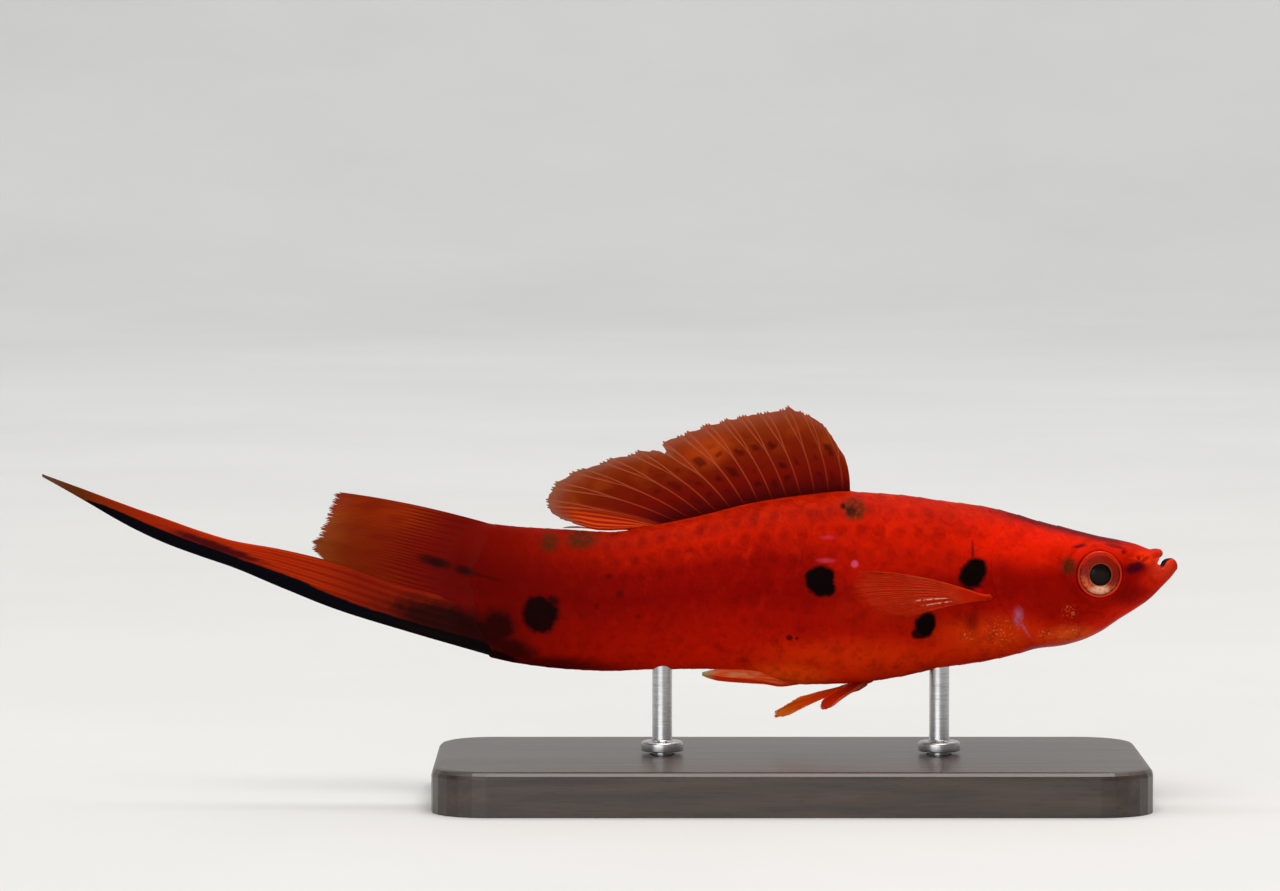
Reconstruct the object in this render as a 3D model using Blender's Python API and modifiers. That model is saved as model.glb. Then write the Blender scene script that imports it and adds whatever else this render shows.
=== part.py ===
"""A life-size display model of a male swordtail, gliding above a flat base on two short rods.

Sizes are in millimetres until new_object turns them into metres. X runs towards the snout, Y towards
the fish's left and Z up. The origin is the centre of the base's underside. The fish is modelled
straight, and bend_tail then turns its tail a little to its left.
"""

import math

import bmesh
import bpy
import numpy as np

MM = 0.001
GAP = 0.3

# The straight body, from the end of the tail stalk to the tip of the lower jaw. A row holds the place
# along X, the height of the back, the height of the belly, half the width, the share of the height
# where it is widest, and how square the section is above and below that level. 2 is an ellipse.
BODY = (
    (-30.0, 25.4, 13.2, 0.70, 0.50, 2.0, 2.0),
    (-27.9, 25.0, 12.8, 1.20, 0.50, 2.0, 2.0),
    (-24.5, 24.6, 12.1, 1.80, 0.50, 2.1, 2.0),
    (-20.0, 24.35, 11.6, 2.35, 0.52, 2.1, 2.0),
    (-16.2, 24.15, 11.45, 2.70, 0.53, 2.1, 1.9),
    (-12.6, 24.65, 11.6, 3.05, 0.54, 2.1, 1.9),
    (-8.1, 25.55, 11.65, 3.50, 0.55, 2.1, 1.8),
    (-3.6, 26.65, 11.45, 3.90, 0.56, 2.2, 1.8),
    (0.9, 27.35, 10.25, 4.20, 0.56, 2.2, 1.8),
    (5.4, 27.75, 10.35, 4.40, 0.55, 2.2, 1.9),
    (9.9, 27.5, 10.95, 4.50, 0.55, 2.2, 2.0),
    (13.5, 27.0, 11.75, 4.50, 0.55, 2.2, 2.1),
    (17.5, 26.45, 12.35, 4.40, 0.55, 2.2, 2.1),
    (20.0, 25.85, 12.9, 4.30, 0.55, 2.2, 2.1),
    (22.5, 25.1, 13.55, 4.15, 0.55, 2.3, 2.1),
    (24.3, 24.65, 13.75, 3.95, 0.55, 2.5, 2.1),
    (26.1, 24.2, 14.2, 3.70, 0.56, 2.7, 2.1),
    (27.9, 23.75, 15.0, 3.40, 0.57, 2.9, 2.1),
    (29.7, 23.4, 16.2, 3.00, 0.58, 3.0, 2.1),
    (31.05, 23.1, 17.05, 2.65, 0.58, 2.9, 2.2),
    (32.4, 22.6, 18.0, 2.25, 0.58, 2.7, 2.2),
    (33.6, 22.3, 19.2, 1.80, 0.56, 2.4, 2.2),
    (34.4, 21.8, 20.05, 1.25, 0.54, 2.2, 2.2),
    (34.75, 21.5, 20.5, 0.80, 0.52, 2.0, 2.0),
    (34.95, 21.2, 20.8, 0.35, 0.50, 2.0, 2.0),
)
SNOUT_X = BODY[-1][0]
STALK_END_X = BODY[0][0]
RING_POINTS = 36
# Farther than any part of the model reaches.
FAR = 60.0
# Where a stretch of the body is drawn out to before a parting line trims it.
HEAD_FROM_X, COVER_TO_X, TRUNK_TO_X = 13.0, 28.0, 26.0
# Where the rings grow closer together, from tail to head to lips, and how far apart they are.
HEAD_START_X, LIPS_START_X = 17.0, 33.2
TRUNK_STEP, HEAD_STEP, LIP_STEP = 1.7, 0.9, 0.35

# The lines along which the body is parted, seen from the side, as (x, z) from the top down.
GILL_LINE = ((20.4, 27.2), (18.9, 24.5), (18.0, 22.7), (17.9, 20.7), (18.4, 18.7), (19.5, 16.8),
             (20.9, 15.1), (22.5, 13.5), (23.2, 12.4))
CHEEK_LINE = ((21.7, 22.8), (22.2, 20.3), (22.5, 18.0), (23.1, 16.0), (24.0, 14.6))
JAW_LINE = ((32.95, 20.9), (32.4, 20.0), (31.05, 18.5), (29.25, 17.0), (27.9, 15.9), (26.6, 12.0))
STALK_X, STALK_OVERLAP = -16.4, 3.0
# The mouth's slot, from its corner out past the lips: its floor is the lower jaw's edge.
MOUTH_FLOOR = ((33.45, 21.0), (33.8, 21.35), (34.15, 21.6), (35.5, 22.3))
MOUTH_ROOF = ((33.0, 21.4), (33.2, 21.8), (33.35, 22.15), (33.5, 23.6))
# The scaled end of the tail stalk is an arc that bulges towards the tail.
CAUDAL_ARC = {"x": -26.8, "bulge": 2.0, "z": 18.9, "half_height": 5.9}

GILL_COVER_THICKNESS = 0.8
GILL_COVER_TOP, GILL_COVER_BOTTOM = 22.8, 15.0
# A gill cover starts this far behind the gill line, so that the head's own edge trims it.
GILL_COVER_BEHIND = 2.0
OUTLINE_POINTS = 9
LINE_POINTS = 15
# No gill cover or room for one comes closer than this to the middle of the throat.
THROAT_HALF_WIDTH = 0.9

EYE_SEGMENTS, EYE_RINGS = 24, 12
EYE = {"x": 27.65, "y": 2.95, "z": 20.5, "radius": 2.12, "bulge": 1.05, "inner_depth": 1.9, "yaw": 11}
ORBIT_RIM = {"radius": 2.58, "thickness": 0.3, "points": 28}
NOSTRIL_SEGMENTS, NOSTRIL_RINGS = 8, 6
NOSTRILS = ((31.3, 21.95, 0.24), (29.95, 22.45, 0.28))

LIP_POINTS = 11
UPPER_LIP = {"x": 32.45, "reach": 0.85, "half_width": 1.6, "z": 22.2, "drop": 0.1, "radius": 0.33}
LOWER_LIP = {"x": 33.6, "reach": 0.85, "half_width": 1.15, "z": 21.2, "drop": 0.25, "radius": 0.42}

# A fin's keys hold the share of its base from the leading end, a ray's length and a ray's angle.
DORSAL = {
    "rays": 14, "rows": 7, "bow": 0.05, "root_half": 0.45, "tip_half": 0.17, "wave": 0.35,
    "keys": ((0.0, 3.0, 10), (0.06, 6.6, 16), (0.15, 7.8, 19), (0.29, 8.1, 29), (0.43, 8.0, 35),
             (0.58, 8.6, 50), (0.71, 10.0, 62), (0.83, 11.2, 74), (0.92, 9.6, 81), (1.0, 6.0, 86))}
DORSAL_BASE_X = (5.4, -13.9)
CAUDAL = {
    "rays": 12, "rows": 7, "bow": 0.02, "root_half": 0.3, "tip_half": 0.17, "wave": 0.3,
    "keys": ((0.0, 14.0, 11.7), (0.1, 14.2, 11.8), (0.25, 13.9, 12.0), (0.5, 14.1, 12.1),
             (0.75, 14.6, 14.2), (1.0, 12.6, 18.3))}
CAUDAL_TOP_Z, CAUDAL_LOW_Z = 24.7, 17.75
# How far the stalk's thickness runs out over the roots of the tail fin, and its share there.
CAUDAL_FLESH, FLESH_SHARE = 3.5, 0.85
PECTORAL = {
    "rays": 9, "rows": 7, "bow": 0.04, "root_half": 0.4, "tip_half": 0.17, "wave": 0.15,
    "keys": ((0.0, 9.8, 12.5), (0.12, 11.6, 11), (0.35, 11.8, 5.5), (0.6, 10.8, -1.5), (0.8, 9.0, -7),
             (1.0, 6.6, -12))}
PECTORAL_ROOT = {"top": (16.75, 18.95), "low": (16.3, 18.0)}
PECTORAL_SPREAD = {"right": 15, "left": 22}
PELVIC = {
    "rays": 5, "rows": 6, "bow": 0.03, "root_half": 0.3, "tip_half": 0.2, "wave": 0.1,
    "keys": ((0.0, 6.3, 0), (0.2, 7.0, 2), (0.4, 6.6, 4.5), (0.7, 5.3, 7.5), (1.0, 3.8, 11))}
PELVIC_ROOT = {"front_x": 6.4, "rear_x": 5.2, "y": 0.95}
# Where each pelvic fin's first ray points, and how much longer than the keys its rays are.
PELVIC_HEADING = {"right": (-3.1, -5.6, -1.4), "left": (-7.0, 1.9, -3.2)}
PELVIC_STRETCH = {"right": 0.96, "left": 1.18}
INWARD = (-1.0, 0.0, 0.05)
# The edges of the sword and of the gonopodium: x, upper z, lower z.
SWORD = ((-27.0, 17.3, 12.85), (-35.1, 19.15, 15.1), (-41.0, 21.1, 16.85), (-46.3, 22.3, 18.85),
         (-50.6, 23.0, 20.55), (-53.9, 23.9, 21.6), (-57.1, 24.95, 22.7), (-59.8, 25.8, 23.85),
         (-61.9, 26.5, 24.9), (-64.1, 27.25, 26.1), (-66.6, 28.08, 27.42), (-68.8, 28.8, 28.55))
SWORD_SHAPE = {"rays": 5, "rows": 14, "root_half": 0.3, "tip_half": 0.17}
GONOPODIUM = ((-0.7, 10.15, 9.75), (-2.3, 10.75, 10.05), (-4.2, 11.1, 10.3), (-6.4, 11.3, 10.6),
              (-7.9, 11.3, 11.0))
GONOPODIUM_SHAPE = {"rays": 2, "rows": 9, "root_half": 0.42, "tip_half": 0.2}

# Rays rise out of a fin's surface over the first share of their length, to this height on each side,
# and fork between the next two shares. TIP_DROP is how much of that height they lose by their tips.
RAY_RELIEF, TIP_DROP = 0.14, 0.6
RELIEF_FULL, FORK_START, FORK_END = 0.2, 0.4, 0.75
# Half the web's thickness, the shares of a ray by which it leaves the root's and takes the tip's
# thickness, and how far short of the rays it ends.
WEB_HALF, ROOT_END, TIP_START = 0.26, 0.3, 0.7
WEB_SHORT = 0.03
# How fast the ripple of a fin swings from ray to ray, and how it grows along a ray.
RIPPLE_TURN, RIPPLE_POWER = 7.0, 1.5
# The share of a strip fin over which its root follows the body's edge.
ROOT_BLEND = 0.25

# The tail turns to the fish's left behind this place, on this radius.
BEND_X, BEND_RADIUS = -8.0, 230.0

BASE_SIZE = (64.0, 30.0, 4.0)
BASE_CORNER, BASE_EDGE = 5.0, 0.7
ROD_RADIUS = 0.9
ROD_X = {"front": 13.5, "rear": -11.5}
ROD_SOCKET = 2.6
ROD_FOOT_Z = 2.0
COLLAR_RADIUS, COLLAR_HEIGHT, COLLAR_EDGE = 1.9, 0.9, 0.3
ROD_STEPS = 24
CORNER_SEGMENTS, EDGE_SEGMENTS = 6, 3
SHARP_ANGLE = 35

RED_SKIN = {"colour": (0.62, 0.035, 0.008), "roughness": 0.35}
RED_FIN = {"colour": (0.55, 0.06, 0.015), "roughness": 0.4}
DARK_RED = {"colour": (0.42, 0.02, 0.01), "roughness": 0.4}
COPPER = {"colour": (0.45, 0.16, 0.05), "roughness": 0.15}
DARK_WOOD = {"colour": (0.035, 0.027, 0.022), "roughness": 0.45}
STEEL = {"colour": (0.6, 0.6, 0.6), "roughness": 0.3, "metallic": 1.0}
LOOKS = {
    "head": RED_SKIN, "lower_jaw": RED_SKIN, "gill_cover_right": RED_SKIN, "gill_cover_left": RED_SKIN,
    "trunk": RED_SKIN, "tail_stalk": RED_SKIN, "eye_right": COPPER, "eye_left": COPPER,
    "dorsal_fin": RED_FIN, "caudal_fin": RED_FIN, "sword": DARK_RED, "gonopodium": RED_FIN,
    "pectoral_fin_right": RED_FIN, "pectoral_fin_left": RED_FIN, "pelvic_fin_right": DARK_RED,
    "pelvic_fin_left": RED_FIN, "stand_base": DARK_WOOD, "stand_rod_front": STEEL,
    "stand_rod_rear": STEEL}
SIDES = {"right": -1, "left": 1}


def clear_scene():
    for old in list(bpy.data.objects):
        bpy.data.objects.remove(old, do_unlink=True)


def smooth(known_x, known_y, x):
    """A curve through known points that doesn't overshoot them. known_x rises."""
    known_x, known_y = np.asarray(known_x, float), np.asarray(known_y, float)
    step = np.diff(known_x)
    slope = np.diff(known_y) / step
    before, after = slope[:-1], slope[1:]
    turns = before * after <= 0
    mean = 2 * before * after / np.where(turns, 1, before + after)
    tangent = np.concatenate([slope[:1], np.where(turns, 0, mean), slope[-1:]])
    x = np.clip(x, known_x[0], known_x[-1])
    i = np.clip(np.searchsorted(known_x, x, side="right") - 1, 0, len(step) - 1)
    t = (x - known_x[i]) / step[i]
    rise = known_y[i] * (1 + 2 * t) * (1 - t) ** 2 + known_y[i + 1] * t * t * (3 - 2 * t)
    return rise + step[i] * (tangent[i] * t * (1 - t) ** 2 - tangent[i + 1] * t * t * (1 - t))


def ease(low, high, value):
    """Rises smoothly from 0 to 1 as the value goes from low to high."""
    t = np.clip((value - low) / (high - low), 0, 1)
    return t * t * (3 - 2 * t)


def body_row(x):
    """Back, belly, half width, widest share and the two powers at a place along the body."""
    rows = np.array(BODY)
    return [smooth(rows[:, 0], rows[:, column], x) for column in range(1, 7)]


def back_z(x):
    return body_row(x)[0]


def belly_z(x, y):
    """The underside's height at a place, off the middle by y."""
    top, bottom, half_width, widest, _, power = body_row(x)
    level = bottom + (top - bottom) * widest
    return level - (level - bottom) * (1 - (abs(y) / half_width) ** power) ** (1 / power)


def flank_y(x, z):
    """Half the body's width at a place along it and a height."""
    top, bottom, half_width, widest, above, below = body_row(x)
    level = bottom + (top - bottom) * widest
    share, power = (z - level) / (top - level), above
    if z < level:
        share, power = (level - z) / (level - bottom), below
    return half_width * (1 - min(share, 1) ** power) ** (1 / power)


def line_x(line, z):
    """Where a parting line, given from the top down, is at a height."""
    points = np.array(line)[::-1]
    return smooth(points[:, 1], points[:, 0], z)


def caudal_x(z):
    """Where the scaled end of the tail stalk is at a height."""
    off_middle = (z - CAUDAL_ARC["z"]) / CAUDAL_ARC["half_height"]
    return CAUDAL_ARC["x"] - CAUDAL_ARC["bulge"] * (1 - off_middle ** 2)


def new_object(name, points, faces):
    """An object from points in millimetres."""
    mesh = bpy.data.meshes.new(name)
    mesh.from_pydata((np.asarray(points, float) * MM).tolist(), [], [list(map(int, f)) for f in faces])
    return link(bpy.data.objects.new(name, mesh))


def link(obj):
    bpy.context.scene.collection.objects.link(obj)
    return obj


def get_points(obj):
    return np.array([v.co for v in obj.data.vertices]) / MM


def set_points(obj, points):
    obj.data.vertices.foreach_set("co", (np.asarray(points) * MM).astype(np.float32).ravel())
    obj.data.update()


def face_outwards(obj):
    work = bmesh.new()
    work.from_mesh(obj.data)
    bmesh.ops.recalc_face_normals(work, faces=work.faces)
    work.to_mesh(obj.data)
    work.free()
    return obj


def loft(name, rings):
    """A closed solid through rings of points, with a flat cap at each end."""
    rings = np.asarray(rings)
    count, around = rings.shape[:2]
    faces = []
    for i in range(count - 1):
        for j in range(around):
            k = (j + 1) % around
            faces.append((i * around + j, i * around + k, (i + 1) * around + k, (i + 1) * around + j))
    faces.append(range(around))
    faces.append(range((count - 1) * around, count * around))
    return face_outwards(new_object(name, rings.reshape(-1, 3), faces))


def side_prism(name, outline, depth):
    """An outline seen from the side, as (x, z), drawn out along Y between two places."""
    count = len(outline)
    points = [(x, y, z) for y in depth for x, z in outline]
    faces = [range(count), range(2 * count - 1, count - 1, -1)]
    faces += [(i, (i + 1) % count, count + (i + 1) % count, count + i) for i in range(count)]
    return face_outwards(new_object(name, points, faces))


def ball(name, centre, radii, segments, rings):
    bpy.ops.mesh.primitive_uv_sphere_add(segments=segments, ring_count=rings, radius=1)
    obj = bpy.context.active_object
    obj.name = name
    set_points(obj, get_points(obj) * MM * radii + centre)
    return obj


def turned(name, profile, x):
    """A profile of (radius, z), from the top down, turned about an upright axis at a place along X."""
    work = bmesh.new()
    corners = [work.verts.new((radius * MM, 0, z * MM)) for radius, z in profile]
    for upper, lower in zip(corners, corners[1:]):
        work.edges.new((upper, lower))
    mesh = bpy.data.meshes.new(name)
    work.to_mesh(mesh)
    work.free()
    obj = link(bpy.data.objects.new(name, mesh))
    screw = obj.modifiers.new("turn", "SCREW")
    screw.steps, screw.render_steps = ROD_STEPS, ROD_STEPS
    screw.use_merge_vertices, screw.merge_threshold = True, 0.0001 * MM
    apply_modifiers(obj)
    set_points(obj, get_points(obj) + (x, 0, 0))
    return face_outwards(obj)


def tube(name, points, radius, closed=False, resolution=2):
    """A rod along a run of points, welded where its caps meet its sides."""
    curve = bpy.data.curves.new(name, "CURVE")
    curve.dimensions = "3D"
    curve.bevel_depth, curve.bevel_resolution, curve.use_fill_caps = radius * MM, resolution, not closed
    spline = curve.splines.new("POLY")
    spline.points.add(len(points) - 1)
    spline.use_cyclic_u = closed
    for node, point in zip(spline.points, np.asarray(points) * MM):
        node.co = (*point, 1)
    drawn = link(bpy.data.objects.new(name, curve))
    graph = bpy.context.evaluated_depsgraph_get()
    mesh = bpy.data.meshes.new_from_object(drawn.evaluated_get(graph))
    bpy.data.objects.remove(drawn)
    obj = link(bpy.data.objects.new(name, mesh))
    work = bmesh.new()
    work.from_mesh(mesh)
    bmesh.ops.remove_doubles(work, verts=work.verts, dist=0.001 * MM)
    work.to_mesh(mesh)
    work.free()
    return face_outwards(obj)


def turn(points, centre, axis, degrees):
    """Points turned about an axis through a centre by the right-hand rule."""
    angle, axis = math.radians(degrees), np.asarray(axis, float)
    arm = np.asarray(points, float) - centre
    along = (arm @ axis)[:, None] * axis
    return centre + arm * math.cos(angle) + np.cross(axis, arm) * math.sin(angle) + along * (
        1 - math.cos(angle))


def apply_modifiers(obj):
    graph = bpy.context.evaluated_depsgraph_get()
    mesh = bpy.data.meshes.new_from_object(obj.evaluated_get(graph))
    obj.modifiers.clear()
    obj.data = mesh
    return obj


def combine(obj, others, operation):
    """Joins, cuts or crosses obj with the other objects, which are used up."""
    for other in others:
        boolean = obj.modifiers.new(operation.lower(), "BOOLEAN")
        boolean.operation, boolean.object = operation, other
    apply_modifiers(obj)
    for other in others:
        bpy.data.objects.remove(other)
    return keep_largest(obj)


def keep_largest(obj):
    """Drops every closed surface of a mesh except the one with the most faces."""
    work = bmesh.new()
    work.from_mesh(obj.data)
    islands, seen = [], set()
    for start in work.verts:
        if start in seen:
            continue
        island, to_visit = {start}, [start]
        while to_visit:
            for edge in to_visit.pop().link_edges:
                for vert in edge.verts:
                    if vert not in island:
                        island.add(vert)
                        to_visit.append(vert)
        seen |= island
        islands.append(island)
    largest = max(islands, key=len)
    bmesh.ops.delete(work, geom=[v for v in work.verts if v not in largest], context="VERTS")
    work.to_mesh(obj.data)
    work.free()
    return obj


def copy_of(obj, name):
    twin = bpy.data.objects.new(name, obj.data.copy())
    return link(twin)


def ring_places(start, end):
    """The places of the body's rings, closer together on the head and closest at the lips."""
    places = np.concatenate([
        np.arange(STALK_END_X, HEAD_START_X, TRUNK_STEP),
        np.arange(HEAD_START_X, LIPS_START_X, HEAD_STEP),
        np.arange(LIPS_START_X, SNOUT_X, LIP_STEP),
        [SNOUT_X]])
    return [x for x in places if start <= x <= end]


def body_ring(x, inset):
    top, bottom, half_width, widest, above, below = body_row(x)
    level = bottom + (top - bottom) * widest
    angle = np.linspace(0, 2 * math.pi, RING_POINTS, endpoint=False)
    up, out = np.cos(angle), np.sin(angle)
    power = np.where(up > 0, above, below)
    height = np.where(up > 0, top - level, level - bottom) - inset
    y = (half_width - inset) * np.sign(out) * np.abs(out) ** (2 / power)
    z = level + height * np.sign(up) * np.abs(up) ** (2 / power)
    return np.stack([np.full(RING_POINTS, x), y, z], axis=1)


def body_solid(name, start=STALK_END_X, end=SNOUT_X, inset=0.0):
    """A stretch of the body, or of its inner copy by an inset."""
    return loft(name, [body_ring(x, inset) for x in ring_places(start, end)])


def region(name, line, front):
    """A prism that holds all that lies ahead of a parting line, or behind it."""
    far = FAR if front else -FAR
    outline = [(line[0][0], FAR), *line, (line[-1][0], -FAR), (far, -FAR), (far, FAR)]
    return side_prism(name, outline, (-FAR, FAR))


def curved_line(line, shift):
    """Points along a smooth parting line, from the top down, moved along X."""
    zs = np.linspace(line[0][1], line[-1][1], LINE_POINTS)
    return [(line_x(line, z) + shift, z) for z in zs]


def jaw_region(name, front):
    """All that belongs to the lower jaw, or all that doesn't: they part at the mouth and the jaw line."""
    if front:
        line = [(FAR, MOUTH_FLOOR[-1][1]), *MOUTH_FLOOR[::-1], *curved_line(JAW_LINE, GAP / 2)]
        return side_prism(name, [*line, (line[-1][0], -FAR), (FAR, -FAR)], (-FAR, FAR))
    line = [*MOUTH_ROOF[::-1], *curved_line(JAW_LINE, -GAP / 2)]
    return region(name, line, False)


def gill_outline(margin):
    """A gill cover seen from the side, grown by a margin except at the gill opening."""
    zs = np.linspace(GILL_COVER_TOP + margin, GILL_COVER_BOTTOM - margin, OUTLINE_POINTS)
    front = [(line_x(CHEEK_LINE, z) + margin, z) for z in zs]
    rear = [(line_x(GILL_LINE, z) - GILL_COVER_BEHIND, z) for z in zs[::-1]]
    return front + rear


def part_gill_cover(head, side):
    """Cuts a gill cover's place out of the head and makes the cover, a plate that fills it."""
    out, near = SIDES[side], THROAT_HALF_WIDTH
    plate = side_prism("plate", gill_outline(0.0), sorted((out * near, out * FAR)))
    cover = combine(copy_of(head, f"gill_cover_{side}"), [plate], "INTERSECT")
    core = body_solid("core", start=HEAD_FROM_X, end=COVER_TO_X, inset=GILL_COVER_THICKNESS)
    combine(cover, [core], "DIFFERENCE")
    room = side_prism("room", gill_outline(GAP), sorted((out * (near - GAP), out * FAR)))
    core = body_solid("core", start=HEAD_FROM_X, end=COVER_TO_X, inset=GILL_COVER_THICKNESS + GAP)
    combine(room, [core], "DIFFERENCE")
    combine(head, [room], "DIFFERENCE")


def eye_shape(name, side, grow=0.0):
    """An eyeball that bulges a little out of the head, reaches well into it and looks a bit forward."""
    out = SIDES[side]
    centre = np.array((EYE["x"], out * EYE["y"], EYE["z"]))
    radius = EYE["radius"] + grow
    obj = ball(name, (0, 0, 0), (radius, 1, radius), EYE_SEGMENTS, EYE_RINGS)
    points = get_points(obj)
    outwards = points[:, 1] * out
    depth = np.where(outwards > 0, EYE["bulge"] + grow, EYE["inner_depth"] + grow)
    points[:, 1] *= depth
    set_points(obj, turn(points + centre, centre, (0, 0, 1), -out * EYE["yaw"]))
    return obj


def orbit_rim(name, side):
    """The raised ring of skin round an eye, laid on the head's own surface."""
    angle = np.linspace(0, 2 * math.pi, ORBIT_RIM["points"], endpoint=False)
    x = EYE["x"] + ORBIT_RIM["radius"] * np.cos(angle)
    z = EYE["z"] + ORBIT_RIM["radius"] * np.sin(angle)
    points = [(px, SIDES[side] * flank_y(px, pz), pz) for px, pz in zip(x, z)]
    return tube(name, points, ORBIT_RIM["thickness"], closed=True, resolution=1)


def lip(name, size):
    """A rounded rod that follows the mouth's edge across the snout."""
    turns = np.linspace(-math.pi / 2, math.pi / 2, LIP_POINTS)
    points = [(size["x"] + size["reach"] * math.cos(a), size["half_width"] * math.sin(a),
               size["z"] - size["drop"] * (1 - math.cos(a))) for a in turns]
    return tube(name, points, size["radius"])


def make_head():
    """The head with its lips, rims, nostrils and eye sockets, its lower jaw and its gill covers."""
    whole = body_solid("head", start=HEAD_FROM_X)
    combine(whole, [region("ahead", curved_line(GILL_LINE, GAP / 2), True)], "INTERSECT")
    for side in SIDES:
        part_gill_cover(whole, side)
    jaw = combine(copy_of(whole, "lower_jaw"), [jaw_region("jaw_side", True)], "INTERSECT")
    head = combine(whole, [jaw_region("head_side", False)], "INTERSECT")
    combine(jaw, [lip("lower_lip", LOWER_LIP)], "UNION")
    raised = [lip("upper_lip", UPPER_LIP), *(orbit_rim("rim", side) for side in SIDES)]
    combine(head, raised, "UNION")
    hollows = [eye_shape("socket", side, grow=GAP) for side in SIDES]
    hollows += [ball("nostril", (x, out * flank_y(x, z), z), radius, NOSTRIL_SEGMENTS, NOSTRIL_RINGS)
                for x, z, radius in NOSTRILS for out in SIDES.values()]
    combine(head, hollows, "DIFFERENCE")
    for side in SIDES:
        eye_shape(f"eye_{side}", side)


def stalk_line(shift):
    """The upright line between the trunk and the tail stalk, moved along X."""
    return (STALK_X + shift, FAR / 2), (STALK_X + shift, 0.0)


def make_trunk():
    trunk = body_solid("trunk", start=STALK_X - STALK_OVERLAP, end=TRUNK_TO_X)
    combine(trunk, [region("behind", curved_line(GILL_LINE, -GAP / 2), False),
                    region("ahead", stalk_line(GAP / 2), True)],
            "INTERSECT")
    stalk = body_solid("tail_stalk", end=STALK_X + STALK_OVERLAP)
    ends = CAUDAL_ARC["half_height"] + 1.0
    heights = np.linspace(CAUDAL_ARC["z"] + ends, CAUDAL_ARC["z"] - ends, LINE_POINTS)
    arc = [(caudal_x(z), z) for z in heights]
    combine(stalk, [region("behind", stalk_line(-GAP / 2), False),
                    region("ahead", arc, True)],
            "INTERSECT")


def sheet(name, centres, half):
    """A thin closed solid round a grid of centre points, split into triangles alike on both faces."""
    rows, columns = centres.shape[:2]
    along = np.gradient(centres, axis=0)
    across = np.gradient(centres, axis=1)
    normal = np.cross(along, across)
    normal /= np.linalg.norm(normal, axis=2, keepdims=True)
    front = centres + normal * half[..., None]
    back = centres - normal * half[..., None]
    points = np.concatenate([front.reshape(-1, 3), back.reshape(-1, 3)])
    total = rows * columns
    faces = []
    for i in range(rows - 1):
        for j in range(columns - 1):
            a, b = i * columns + j, i * columns + j + 1
            c, d = b + columns, a + columns
            faces += [(a, b, c), (a, c, d), (total + c, total + b, total + a),
                      (total + d, total + c, total + a)]
    rim = [(0, j) for j in range(columns - 1)]
    rim += [(i, columns - 1) for i in range(rows - 1)]
    rim += [(rows - 1, j) for j in range(columns - 1, 0, -1)]
    rim += [(i, 0) for i in range(rows - 1, 0, -1)]
    ring = [i * columns + j for i, j in rim]
    for a, b in zip(ring, ring[1:] + ring[:1]):
        faces += [(b, a, total + a), (b, total + a, total + b)]
    return face_outwards(new_object(name, points, faces))


def ray_columns(rays):
    """Where a fin's columns are across it, whether each is a ray's crest, and whether it is a fork's."""
    share = [0.0]
    crest = [0.0]
    fork = [0.0]
    for ray in range(rays):
        for step, is_crest, is_fork in ((0.25, 0, 1), (0.5, 1, 0), (0.75, 0, 1), (1.0, 0, 0)):
            share.append((ray + step) / rays)
            crest.append(is_crest)
            fork.append(is_fork)
    return np.array(share), np.array(crest), np.array(fork)


def half_thickness(shape, rows, crest, fork):
    """Half a fin's thickness over its grid: thicker at the root, thin at the margin, raised at rays."""
    t = rows[:, None]
    web = WEB_HALF + (shape["root_half"] - WEB_HALF) * (1 - ease(0, ROOT_END, t))
    web = web + (shape["tip_half"] - WEB_HALF) * ease(TIP_START, 1, t)
    forked = ease(FORK_START, FORK_END, t)
    height = RAY_RELIEF * ease(0, RELIEF_FULL, t) * (1 - TIP_DROP * ease(TIP_START, 1, t))
    return web + height * (crest * (1 - forked) + fork * forked)


def fanned_fin(name, shape, root, heading, stretch=1.0, flesh=None):
    """A fin whose rays spread from a root: root gives their feet and heading their directions."""
    share, crest, fork = ray_columns(shape["rays"])
    keys = np.array(shape["keys"])
    lengths = smooth(keys[:, 0], keys[:, 1], share) * stretch
    # The web between two rays ends a little short of them.
    lengths *= 1 - WEB_SHORT * (1 - np.maximum(crest, fork))
    angles = np.radians(smooth(keys[:, 0], keys[:, 2], share))
    rows = np.linspace(0, 1, shape["rows"])
    centres = np.empty((len(rows), len(share), 3))
    for j, (u, length, angle) in enumerate(zip(share, lengths, angles)):
        ahead, up, side = heading(angle)
        ripple = shape["wave"] * np.sin(RIPPLE_TURN * u) * rows ** RIPPLE_POWER
        centres[:, j] = (np.asarray(root(u)) + np.outer(length * rows, ahead)
                         + np.outer(4 * shape["bow"] * length * rows * (1 - rows), up)
                         + np.outer(ripple, side))
    half = half_thickness(shape, rows, crest, fork)
    if flesh is not None:
        half = np.maximum(half, flesh(centres))
    return sheet(name, centres, half)


def strip_fin(name, shape, edges, root_x=None, flesh=None):
    """A long narrow fin between an upper and a lower edge, with its rays along it."""
    share, crest, fork = ray_columns(shape["rays"])
    table = np.array(edges)[::-1]
    rows = np.linspace(0, 1, shape["rows"])
    run = np.interp(rows, (0, 1), (table[-1, 0], table[0, 0]))
    centres = np.empty((len(rows), len(share), 3))
    for j, v in enumerate(share):
        x = run.copy()
        if root_x is not None:
            foot = root_x(table[-1, 1] * (1 - v) + table[-1, 2] * v)
            x += (foot - run[0]) * (1 - ease(0, ROOT_BLEND, rows))
        z = smooth(table[:, 0], table[:, 1], x) * (1 - v) + smooth(table[:, 0], table[:, 2], x) * v
        centres[:, j] = np.stack([x, np.zeros_like(x), z], axis=1)
    half = half_thickness(shape, rows, crest, fork)
    if flesh is not None:
        half = np.maximum(half, flesh(centres))
    return sheet(name, centres, half)


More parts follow.
